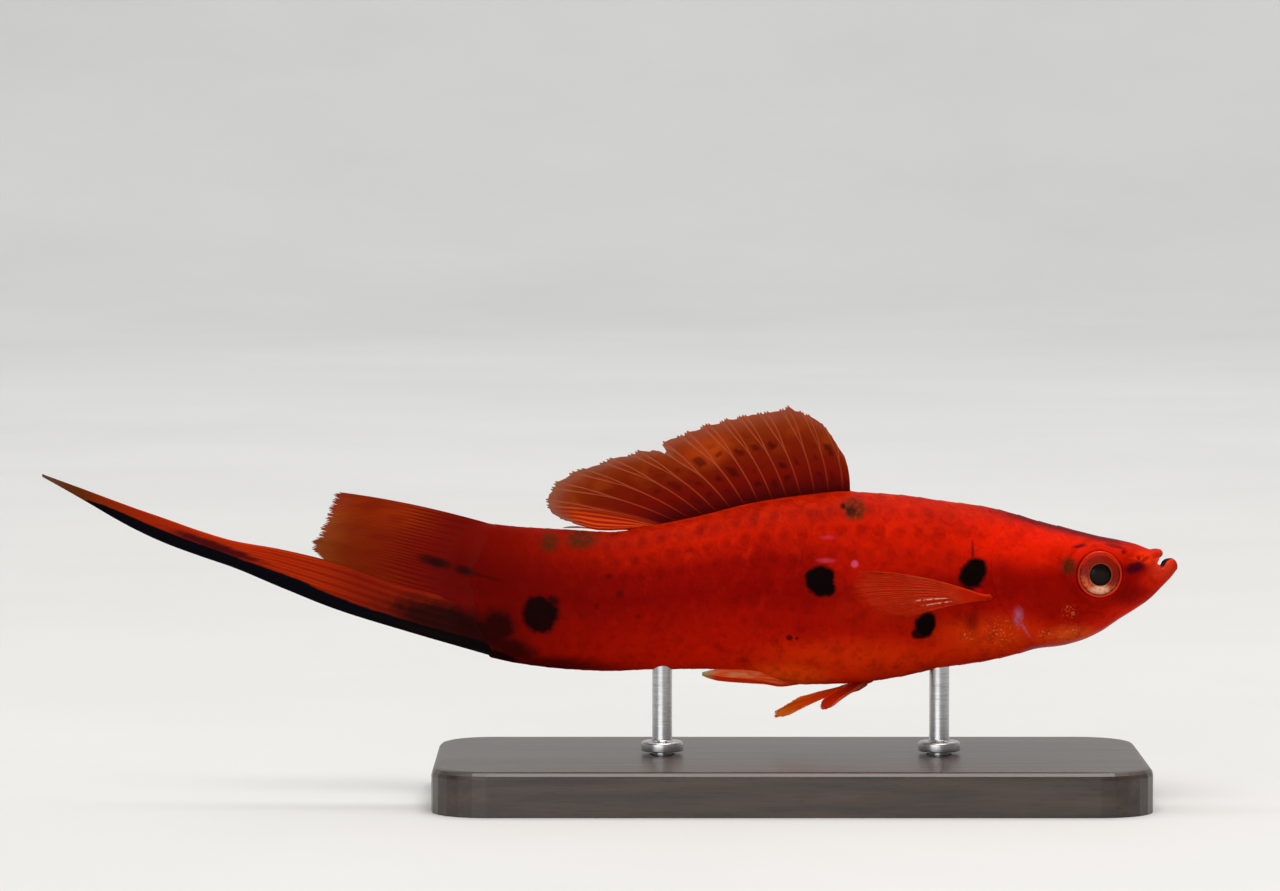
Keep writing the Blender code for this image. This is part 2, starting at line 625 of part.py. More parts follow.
def upright_heading(angle):
    """A dorsal ray leans back from the upright, bows forward and ripples sideways."""
    lean = (-math.sin(angle), 0, math.cos(angle))
    return lean, (math.cos(angle), 0, math.sin(angle)), (0, 1, 0)


def rearward_heading(angle):
    """A tail ray rises from the tail's direction by its angle."""
    return (-math.cos(angle), 0, math.sin(angle)), (math.sin(angle), 0, math.cos(angle)), (0, 1, 0)


def dorsal_root(u):
    x = DORSAL_BASE_X[0] + (DORSAL_BASE_X[1] - DORSAL_BASE_X[0]) * u
    return x, 0, back_z(x) + GAP


def caudal_root(u):
    z = CAUDAL_TOP_Z + (CAUDAL_LOW_Z - CAUDAL_TOP_Z) * u
    return caudal_x(z) - GAP, 0, z


def caudal_flesh(centres):
    """Half the thickness of the flesh that runs out over the roots of the tail fin."""
    half = np.zeros(centres.shape[:2])
    for place in np.ndindex(half.shape):
        x, _, z = centres[place]
        reach = ease(0, CAUDAL_FLESH, caudal_x(z) - GAP - x)
        half[place] = FLESH_SHARE * flank_y(max(x, STALK_END_X), z) * (1 - reach)
    return half


def pectoral_fin(side):
    out, spread = SIDES[side], math.radians(PECTORAL_SPREAD[side])

    def root(u):
        top, low = np.array(PECTORAL_ROOT["top"]), np.array(PECTORAL_ROOT["low"])
        x, z = top + (low - top) * u
        return x, out * (flank_y(x, z) + GAP + PECTORAL["root_half"]), z

    def heading(angle):
        level = (-math.cos(spread), out * math.sin(spread), 0)
        ahead = (level[0] * math.cos(angle), level[1] * math.cos(angle), math.sin(angle))
        return ahead, (0, 0, 1), (-level[1], -level[0], 0)

    fanned_fin(f"pectoral_fin_{side}", PECTORAL, root, heading)


def pelvic_fin(side):
    out = SIDES[side]
    first = np.array(PELVIC_HEADING[side])
    first /= np.linalg.norm(first)
    inward = np.array(INWARD) - first * (first @ INWARD)
    inward /= np.linalg.norm(inward)
    normal = np.cross(first, inward)

    def root(u):
        x = PELVIC_ROOT["front_x"] + (PELVIC_ROOT["rear_x"] - PELVIC_ROOT["front_x"]) * u
        y = PELVIC_ROOT["y"]
        return x, out * y, belly_z(x, y) - GAP - PELVIC["root_half"]

    def heading(angle):
        return first * math.cos(angle) + inward * math.sin(angle), inward, normal

    fanned_fin(f"pelvic_fin_{side}", PELVIC, root, heading, stretch=PELVIC_STRETCH[side])


def make_fins():
    fanned_fin("dorsal_fin", DORSAL, dorsal_root, upright_heading)
    fanned_fin("caudal_fin", CAUDAL, caudal_root, rearward_heading, flesh=caudal_flesh)
    strip_fin("sword", SWORD_SHAPE, SWORD, root_x=lambda z: caudal_x(z) - GAP, flesh=caudal_flesh)
    strip_fin("gonopodium", GONOPODIUM_SHAPE, GONOPODIUM)
    for side in SIDES:
        pectoral_fin(side)
        pelvic_fin(side)


def bend_tail():
    """Turns every point behind the bend's start round an upright axis far to the fish's left."""
    for obj in bpy.data.objects:
        points = get_points(obj)
        x, y = points[:, 0], points[:, 1]
        angle = np.maximum(BEND_X - x, 0) / BEND_RADIUS
        behind = x < BEND_X
        points[:, 0] = np.where(behind, BEND_X - (BEND_RADIUS - y) * np.sin(angle), x)
        points[:, 1] = np.where(behind, BEND_RADIUS - (BEND_RADIUS - y) * np.cos(angle), y)
        set_points(obj, points)


def rod_profile(top):
    """A rod from its top in the fish, by its collar over the base, to its foot in the base."""
    collar_low = BASE_SIZE[2] + GAP
    collar_high = collar_low + COLLAR_HEIGHT
    return [(0, top), (ROD_RADIUS, top), (ROD_RADIUS, collar_high + COLLAR_EDGE),
            (COLLAR_RADIUS - COLLAR_EDGE, collar_high), (COLLAR_RADIUS, collar_high - COLLAR_EDGE),
            (COLLAR_RADIUS, collar_low), (ROD_RADIUS, collar_low), (ROD_RADIUS, ROD_FOOT_Z),
            (0, ROD_FOOT_Z)]


def pin_profile(top, low):
    """The room for a rod between two heights."""
    room = ROD_RADIUS + GAP
    return [(0, top), (room, top), (room, low), (0, low)]


def make_stand():
    """The base and its two rods, let into blind holes in the base and in the trunk."""
    trunk = bpy.data.objects["trunk"]
    base_top = BASE_SIZE[2]
    holes, sockets = [], []
    for place, x in ROD_X.items():
        top = belly_z(x, 0) + ROD_SOCKET
        turned(f"stand_rod_{place}", rod_profile(top), x)
        sockets.append(turned("socket", pin_profile(top + GAP, 0), x))
        holes.append(turned("hole", pin_profile(2 * base_top, ROD_FOOT_Z - GAP), x))
    combine(trunk, sockets, "DIFFERENCE")
    combine(rounded_base(), holes, "DIFFERENCE")


def round_edges(work, edges, size, segments):
    """Rounds edges over to a size."""
    bmesh.ops.bevel(work, geom=edges, offset=size * MM, segments=segments, profile=0.5, affect="EDGES")


def rounded_base():
    """A flat base with rounded corners and a softened upper edge."""
    length, width, height = BASE_SIZE
    work = bmesh.new()
    bmesh.ops.create_cube(work, size=1)
    for vert in work.verts:
        vert.co = (vert.co.x * length * MM, vert.co.y * width * MM, (vert.co.z + 0.5) * height * MM)
    upright = [e for e in work.edges if abs(e.verts[0].co.z - e.verts[1].co.z) > height * MM / 2]
    round_edges(work, upright, BASE_CORNER, CORNER_SEGMENTS)
    top = [e for e in work.edges if all(v.co.z > height * MM * 0.99 for v in e.verts)]
    round_edges(work, top, BASE_EDGE, EDGE_SEGMENTS)
    mesh = bpy.data.meshes.new("stand_base")
    work.to_mesh(mesh)
    work.free()
    return link(bpy.data.objects.new("stand_base", mesh))


def finish_objects():
    """Gives each sub-part its material and smooth shading, and gathers them in one collection."""
    model = bpy.data.collections.new("swordtail")
    bpy.context.scene.collection.children.link(model)
    for obj in list(bpy.data.objects):
        look = LOOKS[obj.name]
        material = bpy.data.materials.new(obj.name)
        material.use_nodes = True
        shader = material.node_tree.nodes["Principled BSDF"]
        shader.inputs["Base Color"].default_value = (*look["colour"], 1)
        shader.inputs["Roughness"].default_value = look["roughness"]
        shader.inputs["Metallic"].default_value = look.get("metallic", 0.0)
        obj.data.materials.clear()
        obj.data.materials.append(material)
        obj.data.shade_smooth()
        obj.data.set_sharp_from_angle(angle=math.radians(SHARP_ANGLE))
        for holder in list(obj.users_collection):
            holder.objects.unlink(obj)
        model.objects.link(obj)


clear_scene()
make_head()
make_trunk()
make_fins()
bend_tail()
make_stand()
finish_objects()
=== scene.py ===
"""The looks of a life-size swordtail: one scaled skin, rayed fins, glassy eyes, and its stand.

Sizes are in millimetres in the fish's straight pose, and place() bends the tail and turns them into
metres. X runs towards the snout, Y towards the fish's left and Z up.
"""

import functools
import math

import bmesh
import bpy
import numpy as np
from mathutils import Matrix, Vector


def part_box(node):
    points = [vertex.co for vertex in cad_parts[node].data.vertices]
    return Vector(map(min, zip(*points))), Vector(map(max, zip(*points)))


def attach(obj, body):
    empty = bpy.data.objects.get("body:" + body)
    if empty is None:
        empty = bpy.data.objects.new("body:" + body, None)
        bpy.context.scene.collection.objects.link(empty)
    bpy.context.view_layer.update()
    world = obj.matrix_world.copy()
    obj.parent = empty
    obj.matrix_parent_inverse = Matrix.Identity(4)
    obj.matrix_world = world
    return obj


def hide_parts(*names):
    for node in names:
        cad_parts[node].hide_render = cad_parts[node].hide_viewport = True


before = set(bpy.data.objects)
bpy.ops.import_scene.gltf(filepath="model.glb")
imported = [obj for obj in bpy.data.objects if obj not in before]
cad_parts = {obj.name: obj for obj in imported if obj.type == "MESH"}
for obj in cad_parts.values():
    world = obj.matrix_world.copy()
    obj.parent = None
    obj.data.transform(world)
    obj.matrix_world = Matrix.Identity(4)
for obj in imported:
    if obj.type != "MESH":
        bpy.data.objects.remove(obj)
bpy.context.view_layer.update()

MM = 0.001
SIDES = {"right": -1, "left": 1}

# The body's cross-sections: x, back z, belly z, half width, the widest level as a share of the height,
# and the powers of the curves above and below that level.
BODY = np.array((
    (-30.0, 25.4, 13.2, 0.70, 0.50, 2.0, 2.0),
    (-27.9, 25.0, 12.8, 1.20, 0.50, 2.0, 2.0),
    (-24.5, 24.6, 12.1, 1.80, 0.50, 2.1, 2.0),
    (-20.0, 24.35, 11.6, 2.35, 0.52, 2.1, 2.0),
    (-16.2, 24.15, 11.45, 2.70, 0.53, 2.1, 1.9),
    (-12.6, 24.65, 11.6, 3.05, 0.54, 2.1, 1.9),
    (-8.1, 25.55, 11.65, 3.50, 0.55, 2.1, 1.8),
    (-3.6, 26.65, 11.45, 3.90, 0.56, 2.2, 1.8),
    (0.9, 27.35, 10.25, 4.20, 0.56, 2.2, 1.8),
    (5.4, 27.75, 10.35, 4.40, 0.55, 2.2, 1.9),
    (9.9, 27.5, 10.95, 4.50, 0.55, 2.2, 2.0),
    (13.5, 27.0, 11.75, 4.50, 0.55, 2.2, 2.1),
    (17.5, 26.45, 12.35, 4.40, 0.55, 2.2, 2.1),
    (20.0, 25.85, 12.9, 4.30, 0.55, 2.2, 2.1),
    (22.5, 25.1, 13.55, 4.15, 0.55, 2.3, 2.1),
    (24.3, 24.65, 13.75, 3.95, 0.55, 2.5, 2.1),
    (26.1, 24.2, 14.2, 3.70, 0.56, 2.7, 2.1),
    (27.9, 23.75, 15.0, 3.40, 0.57, 2.9, 2.1),
    (29.7, 23.4, 16.2, 3.00, 0.58, 3.0, 2.1),
    (31.05, 23.1, 17.05, 2.65, 0.58, 2.9, 2.2),
    (32.4, 22.6, 18.0, 2.25, 0.58, 2.7, 2.2),
    (33.6, 22.3, 19.2, 1.80, 0.56, 2.4, 2.2),
    (34.4, 21.8, 20.05, 1.25, 0.54, 2.2, 2.2),
    (34.75, 21.5, 20.5, 0.80, 0.52, 2.0, 2.0),
    (34.95, 21.2, 20.8, 0.35, 0.50, 2.0, 2.0),
))
TAIL_X, SNOUT_X = BODY[0, 0], BODY[-1, 0]
# The skin lies under the solids' surface by the depth of the scales.
COAT = 0.06

# Lines on the head seen from the side, x and z from the top down.
GILL_LINE = ((20.4, 27.2), (18.9, 24.5), (18.0, 22.7), (17.9, 20.7), (18.4, 18.7), (19.5, 16.8),
             (20.9, 15.1), (22.5, 13.5), (23.2, 12.4))
CHEEK_LINE = ((21.7, 22.8), (22.2, 20.3), (22.5, 18.0), (23.1, 16.0), (24.0, 14.6))
JAW_LINE = ((32.95, 20.9), (32.4, 20.0), (31.05, 18.5), (29.25, 17.0), (27.9, 15.9), (26.6, 12.0))
# The mouth's opening, x and z from its corner forwards.
MOUTH_FLOOR = ((33.45, 21.0), (33.8, 21.35), (34.15, 21.6), (35.5, 22.3))
MOUTH_ROOF = ((33.0, 21.4), (33.2, 21.8), (33.35, 22.15), (33.5, 23.6))
CAUDAL_ARC = {"x": -26.8, "bulge": 2.0, "z": 18.9, "half_height": 5.9}

EYE = {"x": 27.65, "y": 2.95, "z": 20.5, "radius": 2.12, "inner_depth": 1.9, "yaw": 9}
UPPER_LIP = {"x": 32.4, "reach": 0.85, "half_width": 1.6, "z": 22.2, "drop": 0.1, "radius": 0.38}
LOWER_LIP = {"x": 33.5, "reach": 0.85, "half_width": 1.15, "z": 21.25, "drop": 0.25, "radius": 0.52}
NOSTRILS = ((31.3, 21.95, 0.2), (29.95, 22.45, 0.24))

BEND_X, BEND_RADIUS = -8.0, 230.0


def smooth(known_x, known_y, x):
    """A curve through known points that doesn't overshoot them. known_x rises."""
    known_x, known_y = np.asarray(known_x, float), np.asarray(known_y, float)
    step = np.diff(known_x)
    slope = np.diff(known_y) / step
    before, after = slope[:-1], slope[1:]
    turns = before * after <= 0
    mean = 2 * before * after / np.where(turns, 1, before + after)
    tangent = np.concatenate([slope[:1], np.where(turns, 0, mean), slope[-1:]])
    x = np.clip(x, known_x[0], known_x[-1])
    i = np.clip(np.searchsorted(known_x, x, side="right") - 1, 0, len(step) - 1)
    t = (x - known_x[i]) / step[i]
    rise = known_y[i] * (1 + 2 * t) * (1 - t) ** 2 + known_y[i + 1] * t * t * (3 - 2 * t)
    return rise + step[i] * (tangent[i] * t * (1 - t) ** 2 - tangent[i + 1] * t * t * (1 - t))


def ease(low, high, value):
    """Rises smoothly from 0 to 1 as the value goes from low to high."""
    t = np.clip((value - low) / (high - low), 0, 1)
    return t * t * (3 - 2 * t)


def hump(value, middle, width):
    """1 at the middle, falling away to both sides."""
    return np.exp(-((value - middle) / width) ** 2)


def line_x(line, z):
    """Where a line, given from the top down, is at a height."""
    points = np.array(line)[::-1]
    return smooth(points[:, 1], points[:, 0], z)


def caudal_x(z):
    """Where the scaled end of the tail stalk is at a height."""
    off_middle = (z - CAUDAL_ARC["z"]) / CAUDAL_ARC["half_height"]
    return CAUDAL_ARC["x"] - CAUDAL_ARC["bulge"] * (1 - off_middle ** 2)


def body_row(x):
    """The body's sizes at a place along it, in the order of BODY's columns."""
    return [smooth(BODY[:, 0], BODY[:, column], x) for column in range(1, 7)]


def back_z(x):
    return body_row(x)[0]


def belly_z(x, y):
    top, bottom, half_width, widest, _, power = body_row(x)
    level = bottom + (top - bottom) * widest
    return level - (level - bottom) * (1 - (abs(y) / half_width) ** power) ** (1 / power)


def flank_y(x, z):
    """Half the body's width at a place along it and a height."""
    top, bottom, half_width, widest, above, below = body_row(x)
    level = bottom + (top - bottom) * widest
    high = z >= level
    share = np.where(high, (z - level) / (top - level), (level - z) / (level - bottom))
    power = np.where(high, above, below)
    return half_width * np.maximum(1 - np.minimum(share, 1) ** power, 0) ** (1 / power)


def half_rings(x):
    """y, z and length of half rings from the back down the left side to the belly, evenly spaced."""
    top, bottom, half_width, widest, above, below = [column[:, None] for column in body_row(x)]
    level = bottom + (top - bottom) * widest
    angle = np.linspace(0, math.pi, FINE_POINTS)
    up, out = np.cos(angle), np.abs(np.sin(angle))
    power = np.where(up > 0, above, below)
    height = np.where(up > 0, top - level, level - bottom) - COAT
    y = (half_width - COAT) * out ** (2 / power)
    z = level + height * np.sign(up) * np.abs(up) ** (2 / power)
    run = np.cumsum(np.hypot(np.diff(y), np.diff(z)), axis=1)
    run = np.concatenate([np.zeros((len(x), 1)), run], axis=1)
    even = np.linspace(0, 1, HALF_POINTS)
    rows = [(np.interp(even * r[-1], r, a), np.interp(even * r[-1], r, b)) for r, a, b in zip(run, y, z)]
    return np.array([r[0] for r in rows]), np.array([r[1] for r in rows]), run[:, -1]


# The skin is looked up in a table over the place along the fish and the share of the way round from
# the back (0) to the belly (1 on the left side, -1 on the right).
TABLE_STEP, HALF_POINTS = 0.1, 181
# How many points a half ring has before they are evenly spaced.
FINE_POINTS = 721
TABLE_X = np.arange(TAIL_X, SNOUT_X + TABLE_STEP / 2, TABLE_STEP)
TABLE_Y, TABLE_Z, TABLE_LENGTH = half_rings(TABLE_X)


def surface(x, s):
    """Points of the plain skin at places along it and shares round it."""
    x, s = np.broadcast_arrays(np.asarray(x, float), np.asarray(s, float))
    column = np.clip((x - TAIL_X) / TABLE_STEP, 0, len(TABLE_X) - 1.001)
    row = np.clip(np.abs(s) * (HALF_POINTS - 1), 0, HALF_POINTS - 1.001)
    i, j = column.astype(int), row.astype(int)
    a, b = column - i, row - j

    def look_up(table):
        near = table[i, j] * (1 - b) + table[i, j + 1] * b
        far = table[i + 1, j] * (1 - b) + table[i + 1, j + 1] * b
        return near * (1 - a) + far * a

    return np.stack([x, np.sign(s) * look_up(TABLE_Y), look_up(TABLE_Z)], axis=-1)


def half_length(x):
    """How long the way is from the back to the belly."""
    return np.interp(x, TABLE_X, TABLE_LENGTH)


def outwards(x, s):
    """The plain skin's outward direction."""
    reach_x, reach_s = 0.15, 0.012
    along = surface(np.minimum(x + reach_x, SNOUT_X), s) - surface(np.maximum(x - reach_x, TAIL_X), s)
    low, high = np.clip(s - reach_s, -1, 1), np.clip(s + reach_s, -1, 1)
    around = surface(x, high) - surface(x, low)
    normal = np.cross(around, along)
    return -normal / np.maximum(np.linalg.norm(normal, axis=-1, keepdims=True), 1e-9)


def bend(points):
    """Turns every point behind the bend's start round an upright axis far to the fish's left."""
    points = np.array(points, float)
    x, y = points[..., 0].copy(), points[..., 1].copy()
    angle = np.maximum(BEND_X - x, 0) / BEND_RADIUS
    behind = x < BEND_X
    points[..., 0] = np.where(behind, BEND_X - (BEND_RADIUS - y) * np.sin(angle), x)
    points[..., 1] = np.where(behind, BEND_RADIUS - (BEND_RADIUS - y) * np.cos(angle), y)
    return points


def link_object(name, data):
    """A new object in the scene."""
    obj = bpy.data.objects.new(name, data)
    bpy.context.scene.collection.objects.link(obj)
    return obj


def straight_object(name, points, faces):
    """A smooth object from points in millimetres, without the tail's bend."""
    mesh = bpy.data.meshes.new(name)
    mesh.from_pydata((np.asarray(points) * MM).tolist(), [], [list(map(int, face)) for face in faces])
    mesh.shade_smooth()
    return link_object(name, mesh)


def place(name, points, faces, **attributes):
    """A bent object from straight points, which it keeps in its attribute "at"."""
    obj = straight_object(name, bend(points), faces)
    for key, values in {"at": points, **attributes}.items():
        values = np.asarray(values, np.float32)
        kind, field = ("FLOAT", "value") if values.ndim == 1 else ("FLOAT_VECTOR", "vector")
        obj.data.attributes.new(key, kind, "POINT").data.foreach_set(field, values.ravel())
    return obj


def grid_faces(rows, columns, wrap=False):
    """The quads of a grid of points stored row by row."""
    i, j = np.meshgrid(np.arange(rows - 1), np.arange(columns if wrap else columns - 1), indexing="ij")
    k = (j + 1) % columns
    quads = np.stack([i * columns + j, i * columns + k, (i + 1) * columns + k, (i + 1) * columns + j],
                     axis=-1)
    return quads.reshape(-1, 4)


def tube_faces(rows, around):
    """The quads of a tube of rings, and a face across each end."""
    return [*grid_faces(rows, around, wrap=True), range(around), range((rows - 1) * around, rows * around)]


def rim_points(rows, columns):
    """The points round the edge of a grid, in order."""
    ring = list(range(columns))
    ring += [i * columns + columns - 1 for i in range(1, rows)]
    ring += [(rows - 1) * columns + j for j in range(columns - 2, -1, -1)]
    return ring + [i * columns for i in range(rows - 2, 0, -1)]


def slab_faces(rows, columns):
    """The quads of a thin solid between two grids of points, the outer grid stored first."""
    count, quads, ring = rows * columns, grid_faces(rows, columns), rim_points(rows, columns)
    sides = np.array([(b, a, a + count, b + count) for a, b in zip(ring, ring[1:] + ring[:1])])
    return np.concatenate([quads, quads[:, ::-1] + count, sides])


def finish_piece(obj, material, nodes=()):
    """Gives a piece its material and slot, and hides the solids that it replaces."""
    obj.data.materials.clear()
    obj.data.materials.append(material)
    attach(obj, "root")
    if nodes:
        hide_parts(*nodes)


# Shader nodes

def rgba(colour):
    """A plain colour with its fourth value, or a node's output as it is."""
    return (*colour, 1) if isinstance(colour, tuple) else colour


class Value:
    """A node's output. Arithmetic on it adds the nodes that work the result out."""

    def __init__(self, nodes, socket):
        self.nodes, self.socket = nodes, socket

    def math(self, operation, other=0.0):
        return self.nodes.add("ShaderNodeMath", {0: self, 1: other}, operation=operation)

    def __mul__(self, other):
        return self.math("MULTIPLY", other)

    def __add__(self, other):
        return self.math("ADD", other)

    def __sub__(self, other):
        return self.math("SUBTRACT", other)

    def most(self, other):
        """The larger of two values."""
        return self.math("MAXIMUM", other)

    def from_middle(self):
        """How far a value is from the middle between two whole numbers."""
        return (self.math("FRACT") - 0.5).math("ABSOLUTE")

    def step(self, low, high):
        """Rises smoothly from 0 to 1 between low and high, or falls if low is the larger."""
        inputs = {"Value": self, "From Min": low, "From Max": high}
        if low > high:
            inputs |= {"From Min": high, "From Max": low, "To Min": 1.0, "To Max": 0.0}
        return self.nodes.add("ShaderNodeMapRange", inputs, interpolation_type="SMOOTHSTEP")

    def blend(self, a, b):
        """The colour a where this share is 0 and b where it is 1."""
        return self.nodes.add("ShaderNodeMix", {0: self, 6: rgba(a), 7: rgba(b)}, 2, data_type="RGBA")

    def ramp(self, *stops):
        """The colour for a value, between stops of a position and a colour."""
        result = self.nodes.add("ShaderNodeValToRGB", {0: self})
        elements = result.socket.node.color_ramp.elements
        while len(elements) < len(stops):
            elements.new(0.5)
        for element, (position, colour) in zip(elements, stops):
            element.position, element.color = position, rgba(colour)
        return result

    def parts(self):
        """The three coordinates of a place."""
        first = self.nodes.add("ShaderNodeSeparateXYZ", {0: self})
        return [Value(self.nodes, socket) for socket in first.socket.node.outputs]

    def stretched(self, scale, shift=(0.0, 0.0, 0.0)):
        """A place times a scale, plus a shift."""
        return self.nodes.add("ShaderNodeVectorMath", {0: self, 1: scale, 2: shift},
                              operation="MULTIPLY_ADD")

    def length(self):
        return self.nodes.add("ShaderNodeVectorMath", {0: self}, "Value", operation="LENGTH")

    def noise(self, scale, detail=2.0, roughness=0.5):
        return self.nodes.add("ShaderNodeTexNoise", {"Vector": self, "Scale": scale, "Detail": detail,
                                                     "Roughness": roughness})


class Nodes:
    """The nodes of a new material, whose inputs are plain values or other nodes' outputs."""

    def __init__(self, name):
        self.material = bpy.data.materials.new(name)
        self.material.use_nodes = True
        self.tree = self.material.node_tree
        self.tree.nodes.clear()

    def add(self, kind, inputs=None, output=0, **settings):
        node = self.tree.nodes.new(kind)
        for key, value in settings.items():
            setattr(node, key, value)
        for key, value in (inputs or {}).items():
            if isinstance(value, Value):
                self.tree.links.new(value.socket, node.inputs[key])
            else:
                node.inputs[key].default_value = value
        return Value(self, node.outputs[output] if len(node.outputs) else None)

    def read(self, attribute, output="Fac"):
        """What the mesh's points hold under a name, as a number or as a "Vector"."""
        return self.add("ShaderNodeAttribute", None, output, attribute_name=attribute)

    def join(self, x, y, z):
        return self.add("ShaderNodeCombineXYZ", {0: x, 1: y, 2: z})

    def principled(self, colour, roughness, bump=None, specular=0.5, **others):
        """A shader, whose bump is given as its height, strength and distance in millimetres."""
        inputs = {"Base Color": colour, "Roughness": roughness, "Specular IOR Level": specular, **others}
        if bump:
            height, strength, distance = bump
            inputs["Normal"] = self.add("ShaderNodeBump", {"Strength": strength, "Distance": distance * MM,
                                                           "Height": height})
        return self.add("ShaderNodeBsdfPrincipled", inputs)

    def mix(self, share, a, b):
        """The shader a where a share is 0 and b where it is 1."""
        return self.add("ShaderNodeMixShader", {0: share, 1: a, 2: b})

    def finish(self, shader):
        self.add("ShaderNodeOutputMaterial", {0: shader})
        return self.material


def paint(colour, *layers):
    """A colour with tints laid over it in turn, each by its share."""
    for share, tint in layers:
        colour = share.blend(colour, tint)
    return colour


# Colours and markings of the skin

# The marks of each kind on a side or on both: x, z, half length, half height, how many degrees the front
# end is raised, how soft the edge is, and how deep the colour.
MARKS = {
    "lilac": {
        "right": ((20.35, 16.75, 0.36, 0.74, 0, 0.8, 0.5), (21.0, 15.6, 0.9, 0.12, -56, 0.8, 0.35)),
        "left": ((20.5, 16.4, 0.36, 0.6, 0, 0.8, 0.35), (21.1, 15.5, 0.8, 0.12, -56, 0.8, 0.3))},
    "pink": {
        "right": ((5.7, 21.55, 0.33, 0.33, 0, 0.4, 0.8), (3.05, 21.85, 0.65, 0.2, 0, 0.7, 0.35),
                  (3.3, 23.9, 0.6, 0.18, 0, 0.7, 0.2)),
        "left": ((-2.5, 22.3, 0.5, 0.16, 0, 0.7, 0.3),)},
    "purple": {
        "both": ((30.85, 21.1, 0.95, 0.48, 20, 0.5, 0.9), (31.75, 21.75, 0.5, 0.16, 30, 0.5, 0.6),
                 (25.85, 23.05, 0.65, 0.15, 8, 0.5, 0.7), (29.05, 23.0, 0.8, 0.13, -14, 0.5, 0.65))},
    "brown": {
        "right": ((5.65, 26.35, 1.05, 0.95, 0, 0.45, 0.9), (-18.7, 23.5, 1.3, 0.8, 0, 0.6, 0.9),
                  (-21.55, 23.15, 0.8, 0.8, 0, 0.6, 0.85), (24.85, 21.3, 0.62, 0.72, 0, 0.5, 0.95)),
        "left": ((8.8, 25.7, 1.2, 0.9, 0, 0.5, 0.9), (-16.9, 23.3, 1.1, 0.8, 0, 0.5, 0.85),
                 (20.6, 21.4, 0.8, 0.7, 0, 0.5, 0.8))},
    "black": {
        "right": ((2.6, 20.0, 1.32, 1.45, 0, 0.2, 1.0), (1.85, 20.5, 0.62, 0.6, 0, 0.3, 1.0),
                  (3.3, 20.55, 0.68, 0.7, 0, 0.3, 1.0), (3.4, 19.35, 0.6, 0.75, 0, 0.3, 1.0),
                  (16.3, 20.7, 1.5, 1.12, 60, 0.22, 1.0),
                  (16.25, 22.6, 0.14, 0.9, 0, 0.6, 0.6), (12.0, 16.05, 0.98, 1.15, 0, 0.2, 1.0),
                  (11.6, 15.3, 0.8, 0.58, 10, 0.25, 0.95), (-22.4, 16.75, 1.65, 1.75, 0, 0.22, 0.97),
                  (5.4, 26.2, 0.4, 0.35, 0, 0.6, 0.7), (4.7, 26.6, 0.24, 0.24, 0, 0.5, 0.85),
                  (-0.1, 14.85, 0.28, 0.26, 0, 0.5, 0.8), (0.55, 14.8, 0.16, 0.14, 0, 0.5, 0.7),
                  (-16.2, 20.3, 0.3, 0.22, 0, 0.7, 0.5), (-15.2, 18.7, 0.32, 0.3, 0, 0.7, 0.45),
                  (-17.3, 17.6, 0.2, 0.25, 0, 0.7, 0.4), (-13.6, 16.7, 0.25, 0.2, 0, 0.7, 0.35),
                  (-21.25, 17.95, 0.6, 0.55, 0, 0.5, 0.8), (17.1, 21.1, 0.5, 0.5, 0, 0.4, 0.9)),
        "left": ((7.2, 20.9, 1.35, 1.5, 0, 0.2, 1.0), (-4.6, 17.2, 1.2, 1.3, 0, 0.2, 0.97),
                 (15.2, 17.2, 1.15, 1.35, 0, 0.2, 1.0), (-20.6, 18.2, 1.9, 1.7, 0, 0.25, 0.95),
                 (-13.0, 21.6, 0.7, 0.6, 0, 0.3, 0.8), (1.4, 23.3, 0.3, 0.26, 0, 0.5, 0.7),
                 (-14.6, 17.9, 0.3, 0.24, 0, 0.7, 0.5), (10.9, 15.3, 0.22, 0.24, 0, 0.6, 0.6)),
        "both": ((-29.4, 20.62, 1.0, 0.42, -16, 0.6, 0.8), (-31.95, 21.3, 1.5, 0.45, -14, 0.6, 0.85),
                 (-27.5, 20.15, 2.2, 0.14, -14, 0.8, 0.4), (-26.3, 15.6, 1.8, 1.6, 0, 0.5, 0.88),
                 (-31.2, 16.05, 5.4, 1.5, -13, 0.5, 0.9), (-28.0, 15.0, 3.6, 1.7, -16, 0.6, 0.88),
                 (-25.2, 13.6, 2.8, 1.15, -22, 0.6, 0.85), (-31.0, 14.6, 5.5, 1.5, -20, 0.6, 0.85),
                 (-21.5, 12.15, 5.5, 0.75, -3, 0.7, 0.75), (-26.3, 12.95, 2.8, 0.6, -13, 0.5, 0.97))},
}
MARK_COLOURS = {"lilac": (0.38, 0.20, 0.36), "pink": (0.70, 0.07, 0.14), "purple": (0.035, 0.001, 0.006),
                "brown": (0.040, 0.015, 0.003), "black": (0.004, 0.0012, 0.001)}
# How much of a mark the grain of its skin breaks up.
GRAINY = {"brown": 0.55, "lilac": 0.85}
